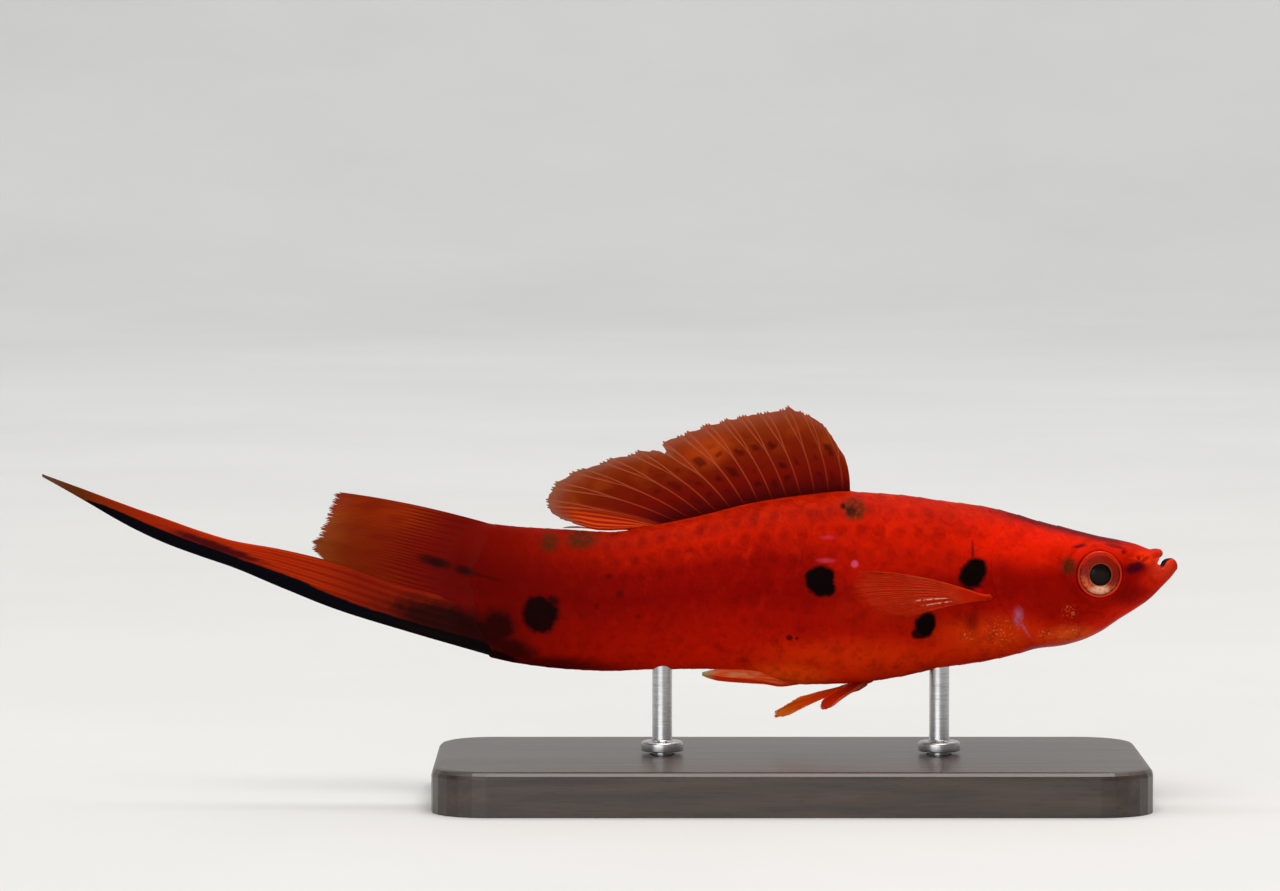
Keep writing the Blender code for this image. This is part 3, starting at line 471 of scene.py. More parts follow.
# Tints of the ground colour, among them painted light and a painted shadow: x, z, half length, half height,
# colour and share.
TINTS = (
    (20.5, 23.4, 9.0, 2.9, (0.68, 0.010, 0.0005), 0.95),
    (19.0, 20.3, 1.5, 2.2, (0.24, 0.002, 0.0002), 0.6),
    (9.5, 22.5, 8.5, 5.0, (0.56, 0.009, 0.0006), 0.75),
    (9.0, 17.8, 6.5, 3.2, (0.38, 0.009, 0.0004), 0.75),
    (29.0, 22.6, 4.4, 1.2, (0.56, 0.008, 0.0005), 0.85),
    (24.6, 18.0, 4.6, 2.7, (0.27, 0.0025, 0.0003), 0.8),
    (30.2, 18.7, 2.7, 1.5, (0.17, 0.001, 0.0002), 0.75),
    (32.6, 19.9, 1.6, 1.1, (0.62, 0.014, 0.001), 0.8),
    (31.7, 21.9, 1.1, 0.8, (0.85, 0.03, 0.002), 0.8),
    (33.6, 21.2, 1.7, 1.5, (0.74, 0.04, 0.012), 0.85),
    (18.0, 14.9, 6.2, 2.4, (0.74, 0.042, 0.002), 0.85),
    (25.5, 14.8, 3.4, 1.3, (0.80, 0.09, 0.012), 0.75),
    # Painted light: these two tints lighten the belly, standing in for light thrown up from below.
    (6.0, 12.8, 11.5, 2.4, (0.76, 0.034, 0.001), 0.8),
    (-0.5, 11.0, 5.0, 1.6, (1.0, 0.075, 0.003), 0.9),
    # Painted shadow under and behind the pectoral fin's root.
    (16.2, 16.4, 0.9, 1.7, (0.14, 0.001, 0.0002), 0.65),
)
# Where gold flecks shine through: x, z and reach.
SPARKLES = ((18.9, 15.2, 1.9), (25.0, 15.2, 1.5), (22.9, 15.0, 1.0), (25.0, 17.2, 0.9), (15.8, 14.9, 0.9))


def oval(at, x, z, length, height, rise=0):
    """How far a place is from a mark's centre as seen from the side, where 1 is the mark's edge."""
    if rise:
        at = at.nodes.add("ShaderNodeVectorRotate", {0: at, "Center": (x, 0, z), "Axis": (0, 1, 0),
                                                     "Angle": math.radians(rise)})
    return at.stretched((1 / length, 0, 1 / height), (-x / length, 0, -z / height)).length()


def add_marks(at, colour, sides=("right", "left", "both")):
    """Lays the marks over a colour, each kind in its own."""
    y = at.parts()[1]
    faces = {"right": y.step(0.1, -0.1), "left": y.step(-0.1, 0.1), "both": 1.0}
    wobble = (at.noise(0.9, 3.0, 0.55) - 0.5) * 0.75
    grain = at.noise(3.2, 3.0, 0.7).step(0.3, 0.62)
    for kind, places in MARKS.items():
        spots = []
        for side in sides:
            for *shape, soft, depth in places.get(side, ()):
                far = oval(at, *shape) + wobble
                spots.append(far.step(1 + soft, 1 - soft) * depth * faces[side])
        if spots:
            share = functools.reduce(Value.most, spots)
            if kind in GRAINY:
                share *= grain * GRAINY[kind] + (1 - GRAINY[kind])
            colour = share.blend(colour, MARK_COLOURS[kind])
    return colour


def body_colour(at, height):
    """The ground colour that skin, scales and fin roots share, with painted light on the lower flank and
    belly and a painted shadow under the pectoral fin's root.
    """
    x = at.parts()[0]
    # By height: the lighter lower flank and belly are painted light, standing in for light thrown up from
    # below.
    colour = height.ramp((0.0, (0.66, 0.012, 0.0008)), (0.14, (0.60, 0.009, 0.0005)),
                         (0.32, (0.42, 0.005, 0.0004)), (0.50, (0.26, 0.0016, 0.0002)),
                         (0.68, (0.27, 0.002, 0.0002)), (0.84, (0.44, 0.008, 0.0004)),
                         (1.0, (0.40, 0.010, 0.0006)))
    for *shape, tint, share in TINTS:
        colour = (oval(at, *shape).step(1.2, 0.15) * share).blend(colour, tint)
    # Soft dark clouds, finer ones, and light ones on the upper flank.
    cloud = at.noise(0.45, 5.0, 0.62).step(0.48, 0.72)
    fine = at.stretched((1, 1, 1), (3.0, 8.0, 5.0)).noise(1.3, 4.0, 0.65).step(0.48, 0.7)
    light = at.stretched((1, 1, 1), (9.0, 4.0, 2.0)).noise(0.7, 4.0, 0.6).step(0.5, 0.72)
    light *= x.step(-26.0, -6.0) * (height.step(0.55, 0.8) * 0.22 + 0.1)
    # A purple line along the forehead, with ragged ends, and a pale lilac edge under the throat.
    along = x + (at.noise(0.8, 4.0, 0.6) - 0.5) * 3.0
    forehead = height.step(0.93, 0.995) * along.step(15.5, 22.0) * along.step(32.5, 28.5)
    throat = height.step(0.06, 0.01) * x.step(20.0, 22.5) * x.step(32.0, 29.5)
    return paint(colour, (x.step(-6.0, -30.0) * 0.82, (0.08, 0.001, 0.0002)),
                 (cloud * 0.38, (0.16, 0.001, 0.0002)), (fine * 0.3, (0.13, 0.001, 0.0002)),
                 (light, (0.74, 0.024, 0.001)), (forehead * 0.9, (0.07, 0.002, 0.005)),
                 (throat * 0.55, (0.55, 0.20, 0.24)))


def add_sparkle(at, colour):
    """Lays the gold flecks over a colour."""
    fleck = at.noise(4.6, 4.0, 0.75).step(0.54, 0.64)
    near = [oval(at, x, z, reach, reach).step(1.1, 0.2) for x, z, reach in SPARKLES]
    return (fleck * functools.reduce(Value.most, near) * 0.65).blend(colour, (0.85, 0.24, 0.06))


def skin_material():
    nodes = Nodes("red_skin")
    at = nodes.read("at", "Vector")
    colour = add_marks(at, add_sparkle(at, body_colour(at, nodes.read("height"))))
    # Painted shade deep in the mouth.
    colour = nodes.read("lining").blend(colour, (0.008, 0.001, 0.002))
    fine = at.noise(6.0, 4.0, 0.6)
    return nodes.finish(nodes.principled(colour, fine * 0.25 + 0.38, (fine, 0.35, 0.05), 0.012))


def scale_material():
    nodes = Nodes("red_scales")
    at, height = nodes.read("at", "Vector"), nodes.read("height")
    x = at.parts()[0]
    along, across, chance = nodes.read("plate", "Vector").parts()
    # Each scale has a darker heart, most of all on the upper flank, and a slightly lighter margin.
    upper = (height.step(0.45, 0.8) * 0.42 + 0.1) * x.step(-27.0, -12.0) * (x.step(16.0, 4.0) * 0.35 + 0.65)
    heart = nodes.join((along - 0.12) * 2.2, across * 1.35, 0.0).length().step(1.1, 0.1)
    heart *= at.noise(2.2, 3.0, 0.6) * 1.2
    edge = nodes.read("margin").step(0.16, 0.0)
    colour = paint(body_colour(at, height), (heart * upper, (0.12, 0.001, 0.0)),
                   (edge * upper * 0.12, (0.70, 0.02, 0.001)))
    tone = chance * 0.12 + 0.94
    colour = nodes.add("ShaderNodeMix", {0: 1.0, 6: colour, 7: nodes.join(tone, tone, tone)}, 2,
                       data_type="RGBA", blend_type="MULTIPLY")
    colour = add_marks(at, add_sparkle(at, colour))
    fine = at.noise(7.0, 3.0, 0.6)
    return nodes.finish(nodes.principled(colour, fine * 0.25 + 0.34, (fine, 0.25, 0.04), 0.012))


# Skin

# The fleshy root of the pectoral fin, seen from the side: x, z, half length and half height.
FIN_ROOT = (16.75, 18.6, 0.75, 0.7)
# The rings of the skin lie closer on the head, and closest on the snout.
SKIN_AROUND = 240
HEAD_START, SNOUT_START = 15.0, 31.6
TRUNK_STEP, HEAD_STEP, SNOUT_STEP = 0.3, 0.14, 0.055
# Behind this place the rings are drawn towards the tail fin's arc.
TAIL_DRAW_X = -20.0
# The radius of the eye's socket.
SOCKET = 2.13
# How often the lips are smoothed into the snout, and between which places that sets in.
SNOUT_ROUNDS = 14
SMOOTH_X = (31.9, 32.8)
# Where the painted shade deep in the mouth may begin, as x and as z.
MOUTH_BACK, MOUTH_LOW = 32.6, 20.5
# The folds ahead of the eye run between two places: the height they start at, their depth and slope.
FOLD_X = (29.9, 32.7)
FOLDS = ((22.15, 0.07, 0.12), (21.75, 0.05, 0.05))


def gather(distance, reach=0.4, power=1.6):
    """Draws points near a line closer to it, so that a step there has a clean edge."""
    share = np.minimum(np.abs(distance) / reach, 1)
    return distance * share ** power


def near_sides(s):
    """1 on the flanks, 0 along the back and the belly."""
    return ease(0.05, 0.16, np.abs(s)) * ease(0.97, 0.88, np.abs(s))


def to_tail_end(x, s):
    """Draws the last rings together so that the skin ends along the tail fin's arc."""
    share = np.clip((TAIL_DRAW_X - x) / (TAIL_DRAW_X - TAIL_X), 0, 1)
    return x + (caudal_x(surface(x, s)[..., 2]) - TAIL_X) * share, share


def skin_grid(x, s):
    """The plain skin's points, with the grid drawn to the gill opening, the eyes and the nostrils."""
    x, share = to_tail_end(x, s)
    points = surface(x, s)
    points[..., 1] *= 1 - 0.12 * ease(0.9, 1, share)
    sides = near_sides(s)
    shift = np.zeros_like(points)
    ahead = points[..., 0] - line_x(GILL_LINE, points[..., 2])
    shift[..., 0] += (gather(ahead) - ahead) * sides
    for cx, cz, radius, reach in ((EYE["x"], EYE["z"], SOCKET, 0.5),
                                  *((a, b, r, 0.16) for a, b, r in NOSTRILS)):
        arm_x, arm_z = points[..., 0] - cx, points[..., 2] - cz
        far = np.hypot(arm_x, arm_z)
        moved = radius + gather(far - radius, reach)
        pull = (moved - far) / np.maximum(far, 1e-6) * sides
        shift[..., 0] += arm_x * pull
        shift[..., 2] += arm_z * pull
    return points, ahead, points + shift


def relief(points, ahead, s):
    """How far the skin stands out from the plain body: gill cover, orbit, grooves and fin roots."""
    x, z = points[..., 0], points[..., 2]
    sides = near_sides(s)
    # The gill cover's edge stands up, and the skin behind it lies low.
    over = ease(-0.2, 0.2, ahead)
    cover = 0.08 * np.exp(-np.maximum(ahead, 0) / 2.2) * over
    cover -= 0.09 * np.exp(np.minimum(ahead, 0) / 1.3) * (1 - over)
    total = cover * sides * ease(24.8, 22.9, z) * (0.45 + 0.55 * ease(15.5, 18.0, z))
    # A groove along the cheek's rear edge with a ridge ahead of it, and a groove along the jaw.
    cheek = x - line_x(CHEEK_LINE, z)
    total += sides * ease(13.9, 15.0, z) * ease(23.2, 22.2, z) * (
        0.03 * hump(cheek, 0.8, 0.6) - 0.05 * hump(cheek, 0.0, 0.45))
    jaw = x - line_x(JAW_LINE, z)
    total -= 0.06 * sides * hump(jaw, 0.0, 0.25) * ease(15.4, 16.6, z) * ease(21.2, 20.6, z)
    # The raised ring round the eye, a groove and a low fold outside that, and the socket.
    far = np.hypot(x - EYE["x"], z - EYE["z"])
    total += sides * (0.2 * hump(far, 2.42, 0.3) - 0.05 * hump(far, 2.95, 0.16)
                      + 0.05 * hump(far, 3.3, 0.25))
    total -= sides * 1.3 * ease(SOCKET + 0.01, SOCKET - 0.25, far)
    for cx, cz, radius in NOSTRILS:
        hole = np.hypot(x - cx, z - cz)
        total += sides * (0.05 * hump(hole, radius + 0.12, 0.1) - 0.3 * ease(radius, radius * 0.6, hole))
    # Folds of skin between the eye and the upper lip.
    for start, depth, slope in FOLDS:
        fold = z - (start - slope * (x - FOLD_X[0]))
        total -= depth * sides * hump(fold, 0.0, 0.13) * ease(FOLD_X[0] - 0.4, FOLD_X[0] + 0.5, x) * ease(
            FOLD_X[1] + 0.4, FOLD_X[1] - 0.4, x)
    # The fleshy root of the pectoral fin.
    cx, cz, length, height = FIN_ROOT
    total += 0.45 * sides * ease(1.4, 0.1, np.hypot((x - cx) / length, (z - cz) / height))
    # The ridge under the dorsal fin.
    total += 0.14 * hump(s, 0, 0.02) * ease(-14.8, -13.4, x) * ease(6.4, 5.2, x)
    return total


def height_share(points):
    """0 at the belly and 1 at the back."""
    rows = body_row(points[..., 0])
    return np.clip((points[..., 2] - rows[1]) / (rows[0] - rows[1]), 0, 1)


def raw_object(name, points, faces):
    """A straight object whose faces look outwards, for the booleans."""
    obj = straight_object(name, points, faces)
    work = bmesh.new()
    work.from_mesh(obj.data)
    bmesh.ops.recalc_face_normals(work, faces=work.faces)
    work.to_mesh(obj.data)
    work.free()
    return obj


def prism(name, outline, depth):
    """A solid with an outline in x and z that reaches a depth to both sides."""
    count = len(outline)
    points = [(x, y, z) for y in (-depth, depth) for x, z in outline]
    faces = [range(count), range(2 * count - 1, count - 1, -1)]
    faces += [(i, (i + 1) % count, count + (i + 1) % count, count + i) for i in range(count)]
    return raw_object(name, points, faces)


def lip(name, size, segments=72, around=28):
    """A rounded rod that follows the mouth's edge across the snout."""
    turns = np.linspace(-math.pi / 2, math.pi / 2, segments)
    spine = np.stack([size["x"] + size["reach"] * np.cos(turns), size["half_width"] * np.sin(turns),
                      size["z"] - size["drop"] * (1 - np.cos(turns))], axis=1)
    ahead = np.gradient(spine, axis=0)
    ahead /= np.linalg.norm(ahead, axis=1, keepdims=True)
    up = np.array((0, 0, 1.0))
    side = np.cross(ahead, up)
    angle = np.linspace(0, 2 * math.pi, around, endpoint=False)
    ends = np.sqrt(np.clip(1 - np.abs(np.linspace(-1, 1, segments)) ** 6, 0.05, 1))
    ring = (np.cos(angle)[None, :, None] * side[:, None] + np.sin(angle)[None, :, None] * up)
    points = spine[:, None] + ring * size["radius"] * ends[:, None, None]
    return raw_object(name, points.reshape(-1, 3), tube_faces(segments, around))


def boolean(obj, other, operation):
    """Joins another object to one or cuts it away, and removes the other."""
    modifier = obj.modifiers.new(operation, "BOOLEAN")
    modifier.operation, modifier.object = operation, other
    graph = bpy.context.evaluated_depsgraph_get()
    mesh = bpy.data.meshes.new_from_object(obj.evaluated_get(graph))
    obj.modifiers.clear()
    obj.data = mesh
    bpy.data.objects.remove(other)


def soften(points, edges, weight, rounds):
    """Moves points towards the mean of their neighbours by their weight."""
    count = np.bincount(edges.ravel(), minlength=len(points))[:, None]
    for _ in range(rounds):
        total = np.zeros_like(points)
        np.add.at(total, edges[:, 0], points[edges[:, 1]])
        np.add.at(total, edges[:, 1], points[edges[:, 0]])
        points = points + (total / np.maximum(count, 1) - points) * weight[:, None]
    return points


def make_skin(material):
    """The body, head, jaw and gill covers as one skin, with the lips joined on and the mouth cut."""
    xs = np.concatenate([np.arange(TAIL_X, HEAD_START, TRUNK_STEP),
                         np.arange(HEAD_START, SNOUT_START, HEAD_STEP),
                         np.arange(SNOUT_START, SNOUT_X, SNOUT_STEP), [SNOUT_X]])
    s = np.linspace(-1, 1, SKIN_AROUND, endpoint=False)
    x, s = np.meshgrid(xs, s, indexing="ij")
    plain, ahead, drawn = skin_grid(x, s)
    points = drawn + outwards(x, s) * relief(plain, ahead, s)[..., None]
    skin = raw_object("skin_raw", points.reshape(-1, 3), tube_faces(*x.shape))
    boolean(skin, prism("mouth_cut", (*MOUTH_FLOOR, *MOUTH_ROOF[::-1]), 6.0), "DIFFERENCE")
    boolean(skin, lip("upper_lip", UPPER_LIP), "UNION")
    boolean(skin, lip("lower_lip", LOWER_LIP), "UNION")
    mesh = skin.data
    points = np.array([v.co for v in mesh.vertices]) / MM
    edges = np.array([e.vertices[:] for e in mesh.edges])
    points = soften(points, edges, 0.5 * ease(*SMOOTH_X, points[:, 0]), SNOUT_ROUNDS)
    # Skin that lies deep in the mouth is painted dark, the darker the deeper: painted shade in the mouth's
    # hollow.
    deep = flank_y(points[:, 0], points[:, 2]) - np.abs(points[:, 1])
    inside = (points[:, 0] > MOUTH_BACK) & (points[:, 2] > MOUTH_LOW)
    lining = ease(0.2, 0.5, deep) * inside * ease(22.1, 21.8, points[:, 2])
    faces = [p.vertices[:] for p in mesh.polygons]
    bpy.data.objects.remove(skin)
    piece = place("skin", points, faces, height=height_share(points), lining=lining)
    finish_piece(piece, material,
                 ("head", "lower_jaw", "gill_cover_right", "gill_cover_left", "trunk", "tail_stalk"))


# Scales

SCALE_ROWS = 20
SCALE_ALONG, SCALE_ACROSS = 12, 11
# How far apart scales are along a row, at the front and at the rear.
LENGTH_FRONT, LENGTH_REAR = 1.8, 1.55
# A scale's free end stands off the skin, its root lies below it, and this is its thickness.
LIFT, SINK, PLATE = 0.045, 0.05, 0.03
# Its reach behind and ahead of its centre, and its width, as shares of the distances between scales.
REAR, FRONT, WIDTH = 0.62, 1.0, 1.16
# How wide each scale's patch is on the map for baking.
BAKE_PATCH = 0.003


def scale_places():
    """Each scale's centre, as a place along the body and a share round it, with its length and width."""
    pitch_x = np.linspace(TAIL_X + 1, 27.0, 600)
    pitch = np.interp(pitch_x, (TAIL_X, 15.0), (LENGTH_REAR, LENGTH_FRONT))
    steps = np.concatenate([[0], np.cumsum(np.diff(pitch_x) / pitch[:-1])])
    found = []
    for row in range(SCALE_ROWS):
        s = (row + 0.5) * 2 / SCALE_ROWS - 1
        for k in np.arange(0, steps[-1]) + 0.5 * (row % 2):
            x = np.interp(k, steps, pitch_x)
            if keeps_scale(x, s):
                found.append((x, s, np.interp(x, pitch_x, pitch)))
    return np.array(found)


def keeps_scale(x, s):
    """Whether a scale grows at a place: behind the gill covers, on the nape, and up to the tail fin."""
    z = surface(x, s)[2]
    if x < caudal_x(z) + 0.4:
        return False
    if np.abs(s) < 0.17:
        return x < 25.5
    if x > line_x(GILL_LINE, z) + 0.1:
        return False
    cx, cz, length, height = FIN_ROOT
    return np.hypot((x - cx) / length, (z - cz) / height) > 1.2


def make_scales(material):
    """Both sides' coats of overlapping scales, each one joined mesh."""
    t, v = np.meshgrid(np.linspace(0, 1, SCALE_ALONG), np.linspace(-1, 1, SCALE_ACROSS), indexing="ij")
    end = REAR * np.sqrt(np.clip(1 - np.abs(v) ** 2.6, 0, 1))
    local = -FRONT + (end + FRONT) * t
    rise = -SINK + (LIFT + SINK) * (local + FRONT) / (REAR + FRONT) - 0.02 * v * v
    count = t.size
    plate_faces = slab_faces(SCALE_ALONG, SCALE_ACROSS)
    rng = np.random.default_rng(5)
    places = scale_places()
    chance = rng.random(len(places))
    for name, out in SIDES.items():
        points, plates, margins, uvs = [], [], [], []
        for (x, s, pitch), luck in zip(places, chance):
            if np.sign(s) != out:
                continue
            width = half_length(x) / (SCALE_ROWS / 2) * WIDTH / 2
            # Sizes and heights differ a little from scale to scale.
            size = 1 + 0.06 * (luck - 0.5)
            px = np.clip(x - local * pitch * size, TAIL_X, SNOUT_X)
            # A scale beside the belly's middle reaches over to the other side.
            ps = s + v * width * size / half_length(px)
            ps = np.where(np.abs(ps) > 1, ps - 2 * np.sign(ps), ps)
            spot, normal = surface(px, ps), outwards(px, ps)
            # The last scales lie flatter, where the tail fin begins.
            high = rise * (0.9 + 0.2 * luck) - 0.03 * ease(TAIL_X + 8, TAIL_X + 2, x)
            points += [(spot + normal * high[..., None]).reshape(-1, 3),
                       (spot + normal * (high - PLATE)[..., None]).reshape(-1, 3)]
            plate = np.stack([local, v, np.full_like(v, luck)], axis=-1).reshape(-1, 3)
            plates += [plate, plate]
            edge = ((end - local) / (REAR + FRONT)).reshape(-1)
            margins += [edge, edge]
            centre = np.array([(x - TAIL_X) / (SNOUT_X - TAIL_X), (s + 1) / 2])
            patch = centre + np.stack([0.5 - t, v / 2], axis=-1).reshape(-1, 2) * BAKE_PATCH
            uvs += [patch, patch]
        points = np.concatenate(points)
        number = len(points) // (2 * count)
        faces = (plate_faces[None] + (np.arange(number) * 2 * count)[:, None, None]).reshape(-1, 4)
        piece = place(f"scales_{name}", points, faces, height=height_share(points),
                      plate=np.concatenate(plates), margin=np.concatenate(margins))
        layer = piece.data.uv_layers.new(name="OFBake")
        corners = np.zeros(len(piece.data.loops), int)
        piece.data.loops.foreach_get("vertex_index", corners)
        layer.data.foreach_set("uv", np.concatenate(uvs)[corners].astype(np.float32).ravel())
        piece.data.set_sharp_from_angle(angle=math.radians(50))
        finish_piece(piece, material)


# Fins

# Each fin's shape. Its keys are shares across it, the rays' length there and their angle in degrees. Its
# forks are how far branches part, as a share of a ray's cell, and between which shares of the length.
DORSAL = {
    "rays": 15, "rows": 64, "per_ray": 26, "bow": 0.05, "wave": 0.35, "root_half": 0.2, "web_half": 0.05,
    "relief": 0.05, "ray_width": (0.065, 0.035), "forks": ((0.15, 0.42, 0.85), (0.06, 0.75, 1.0)),
    "keys": ((0.0, 3.0, 10), (0.06, 6.6, 16), (0.15, 7.9, 19), (0.29, 8.2, 29), (0.43, 8.2, 35),
             (0.58, 8.6, 50), (0.71, 10.0, 62), (0.83, 11.2, 74), (0.91, 10.0, 81), (0.95, 8.2, 85),
             (0.975, 6.2, 87), (1.0, 7.0, 90))}
# Where its first and last rays' feet are.
DORSAL_BASE_X = (5.4, -13.9)
# Notches in its edge: share across the fin, depth as a share of the rays, and width.
DORSAL_NOTCHES = ((0.574, 0.14, 0.012), (0.985, 0.35, 0.005))
# An orange patch on it: x, z, half length, half height and rise.
DORSAL_GLOW = (-7.4, 31.4, 2.8, 1.5, 20)
CAUDAL = {
    "rays": 13, "rows": 70, "per_ray": 26, "bow": 0.02, "wave": 0.3, "root_half": 0.25, "web_half": 0.05,
    "relief": 0.03, "ray_width": (0.17, 0.085), "forks": ((0.25, 0.1, 0.35), (0.125, 0.35, 0.65)),
    "keys": ((0.0, 14.0, 11.5), (0.1, 14.2, 11.7), (0.25, 13.9, 12.0), (0.5, 14.1, 12.1),
             (0.75, 14.6, 14.2), (1.0, 12.6, 17.2))}
# The heights of its first and last rays' feet, and how far flesh runs out over its rays.
CAUDAL_TOP_Z, CAUDAL_LOW_Z = 24.78, 17.2
CAUDAL_FLESH = 3.5
PECTORAL = {
    "rays": 13, "rows": 60, "per_ray": 22, "bow": 0.04, "wave": 0.15, "root_half": 0.25, "web_half": 0.04,
    "relief": 0.05, "ray_width": (0.11, 0.06), "forks": ((0.22, 0.3, 0.6), (0.11, 0.6, 0.9)),
    "keys": ((0.0, 9.8, 12.5), (0.12, 11.6, 11), (0.35, 11.8, 5.5), (0.6, 10.8, -1.5), (0.8, 9.0, -7),
             (1.0, 6.6, -12))}
PECTORAL_ROOT = {"top": (16.75, 18.95), "low": (16.3, 18.3)}
# How far their roots lie off the flanks, and how many degrees they stand off the body.
PECTORAL_OUT = 0.5
PECTORAL_SPREAD = {"right": 15, "left": 22}
PELVIC = {
    "rays": 5, "rows": 40, "per_ray": 20, "bow": 0.03, "wave": 0.1, "root_half": 0.22, "web_half": 0.07,
    "relief": 0.07, "ray_width": (0.12, 0.07), "forks": ((0.22, 0.4, 0.8),)}
PELVIC_KEYS = {
    "right": ((0.0, 5.9, 0), (0.2, 6.8, 2), (0.4, 6.5, 4), (0.7, 5.2, 6.5), (1.0, 3.6, 9)),
    "left": ((0.0, 6.3, 0), (0.2, 7.1, 2), (0.4, 6.7, 4.5), (0.7, 5.3, 7.5), (1.0, 3.8, 11))}
PELVIC_ROOT = {"front_x": 6.4, "rear_x": 5.2, "y": 0.95}
# The directions of their first rays, and their lengths as shares of the keys.
PELVIC_HEADING = {"right": (-3.1, -5.6, -1.4), "left": (-7.0, 1.9, -3.2)}
PELVIC_STRETCH = {"right": 0.96, "left": 1.18}
# Their webs' colours at the root, halfway out and at the tips. The left fin's are lighter and yellower than
# the right's: painted light shining through it.
PELVIC_TONES = {"right": ((0.60, 0.010, 0.001), (0.75, 0.012, 0.001), (0.75, 0.02, 0.002)),
                "left": ((0.80, 0.03, 0.001), (1.0, 0.18, 0.002), (1.0, 0.42, 0.03))}
# Roughly the way that their further rays turn to.
INWARD = (-1.0, 0.0, 0.05)
# The sword's and the gonopodium's edges: x, upper z and lower z.
SWORD = ((-27.0, 17.3, 12.85), (-35.1, 19.15, 15.1), (-41.0, 21.1, 16.85), (-46.3, 22.3, 18.85),
         (-50.6, 23.0, 20.55), (-53.9, 23.9, 21.6), (-57.1, 24.95, 22.7), (-59.8, 25.8, 23.85),
         (-61.9, 26.5, 24.9), (-64.1, 27.25, 26.1), (-66.6, 28.08, 27.42), (-68.8, 28.8, 28.55))
SWORD_SHAPE = {"rays": 6, "rows": 150, "per_ray": 18, "root_half": 0.25, "web_half": 0.12,
               "relief": 0.03, "ray_width": (0.16, 0.1), "forks": ((0.22, 0.05, 0.5),)}
# Between these places along the sword its black edge takes this share of its height from below.
SWORD_BLACK = (-65.0, -39.0)
SWORD_LIMIT = ((0.0, 1.0), (0.03, 0.74), (0.085, 0.52), (0.156, 0.46), (0.31, 0.50), (0.50, 0.53),
               (0.6, 0.60), (0.72, 0.61), (0.80, 0.63), (0.865, 0.69), (1.0, 0.74))
# A dark streak along the sword: x, z, half length, half height and rise.
SWORD_STREAK = (-52.1, 22.42, 5.4, 0.45, -18.0)
GONOPODIUM = ((0.8, 11.2, 10.3), (-0.8, 11.35, 10.12), (-2.3, 11.6, 10.36), (-4.2, 11.75, 10.48),
              (-6.4, 11.75, 10.67), (-7.3, 11.6, 10.9), (-7.9, 11.45, 11.15))
# How far the gonopodium leans out to the right of the belly.
GONOPODIUM_Y = -0.45
GONOPODIUM_SHAPE = {"rays": 3, "rows": 60, "per_ray": 16, "root_half": 0.3, "web_half": 0.12,
                    "relief": 0.07, "ray_width": (0.13, 0.08), "forks": ((0.22, 0.3, 0.75),)}
# How far the fins' roots stand off the body, and the rods' collars off the base.
FIN_GAP = 0.3
# How far a fin runs on into the body behind its visible root.
ROOT_DEPTH = 1.3
# How uneven the rays' tips are and how far the web ends short of them, as shares of the rays' length.
TIP_SPREAD, WEB_SHORT = 0.012, 0.03
# How many radians of a wave a fin's ripple spans.
RIPPLE_SPAN = 7.0


def ray_pattern(shape, rows):
    """Where the columns are across a fin, and how high its forking rays stand over its grid, 0 to 1."""
    rays = shape["rays"]
    share = np.linspace(0, 1, rays * shape["per_ray"] + 1)
    cell = share * rays
    across = cell - np.minimum(np.floor(cell), rays - 1) - 0.5
    t = np.clip(rows, 0, 1)[:, None]
    far = np.abs(across)[None, :]
    for apart, start, end in shape["forks"]:
        far = np.abs(far - apart * ease(start, end, t))
    wide, narrow = shape["ray_width"]
    width = wide + (narrow - wide) * ease(0.1, 0.9, t)
    return share, np.exp(-(far / width) ** 2)


def sheet(name, centres, half, shape_data, flesh=None, edge=1.0):
    """A thin closed solid round a grid of centre points: half is half its thickness."""
    if flesh:
        half = np.maximum(half, flesh(centres))
    half = half * edge
    normal = np.cross(np.gradient(centres, axis=0), np.gradient(centres, axis=1))
    normal /= np.maximum(np.linalg.norm(normal, axis=2, keepdims=True), 1e-9)
    front = centres + normal * half[..., None]
    back = centres - normal * half[..., None]
    points = np.concatenate([front.reshape(-1, 3), back.reshape(-1, 3)])
    fields = {key: np.concatenate([value.reshape(-1, *value.shape[2:])] * 2)
              for key, value in shape_data.items()}
    return place(name, points, slab_faces(*centres.shape[:2]), height=height_share(points), **fields)


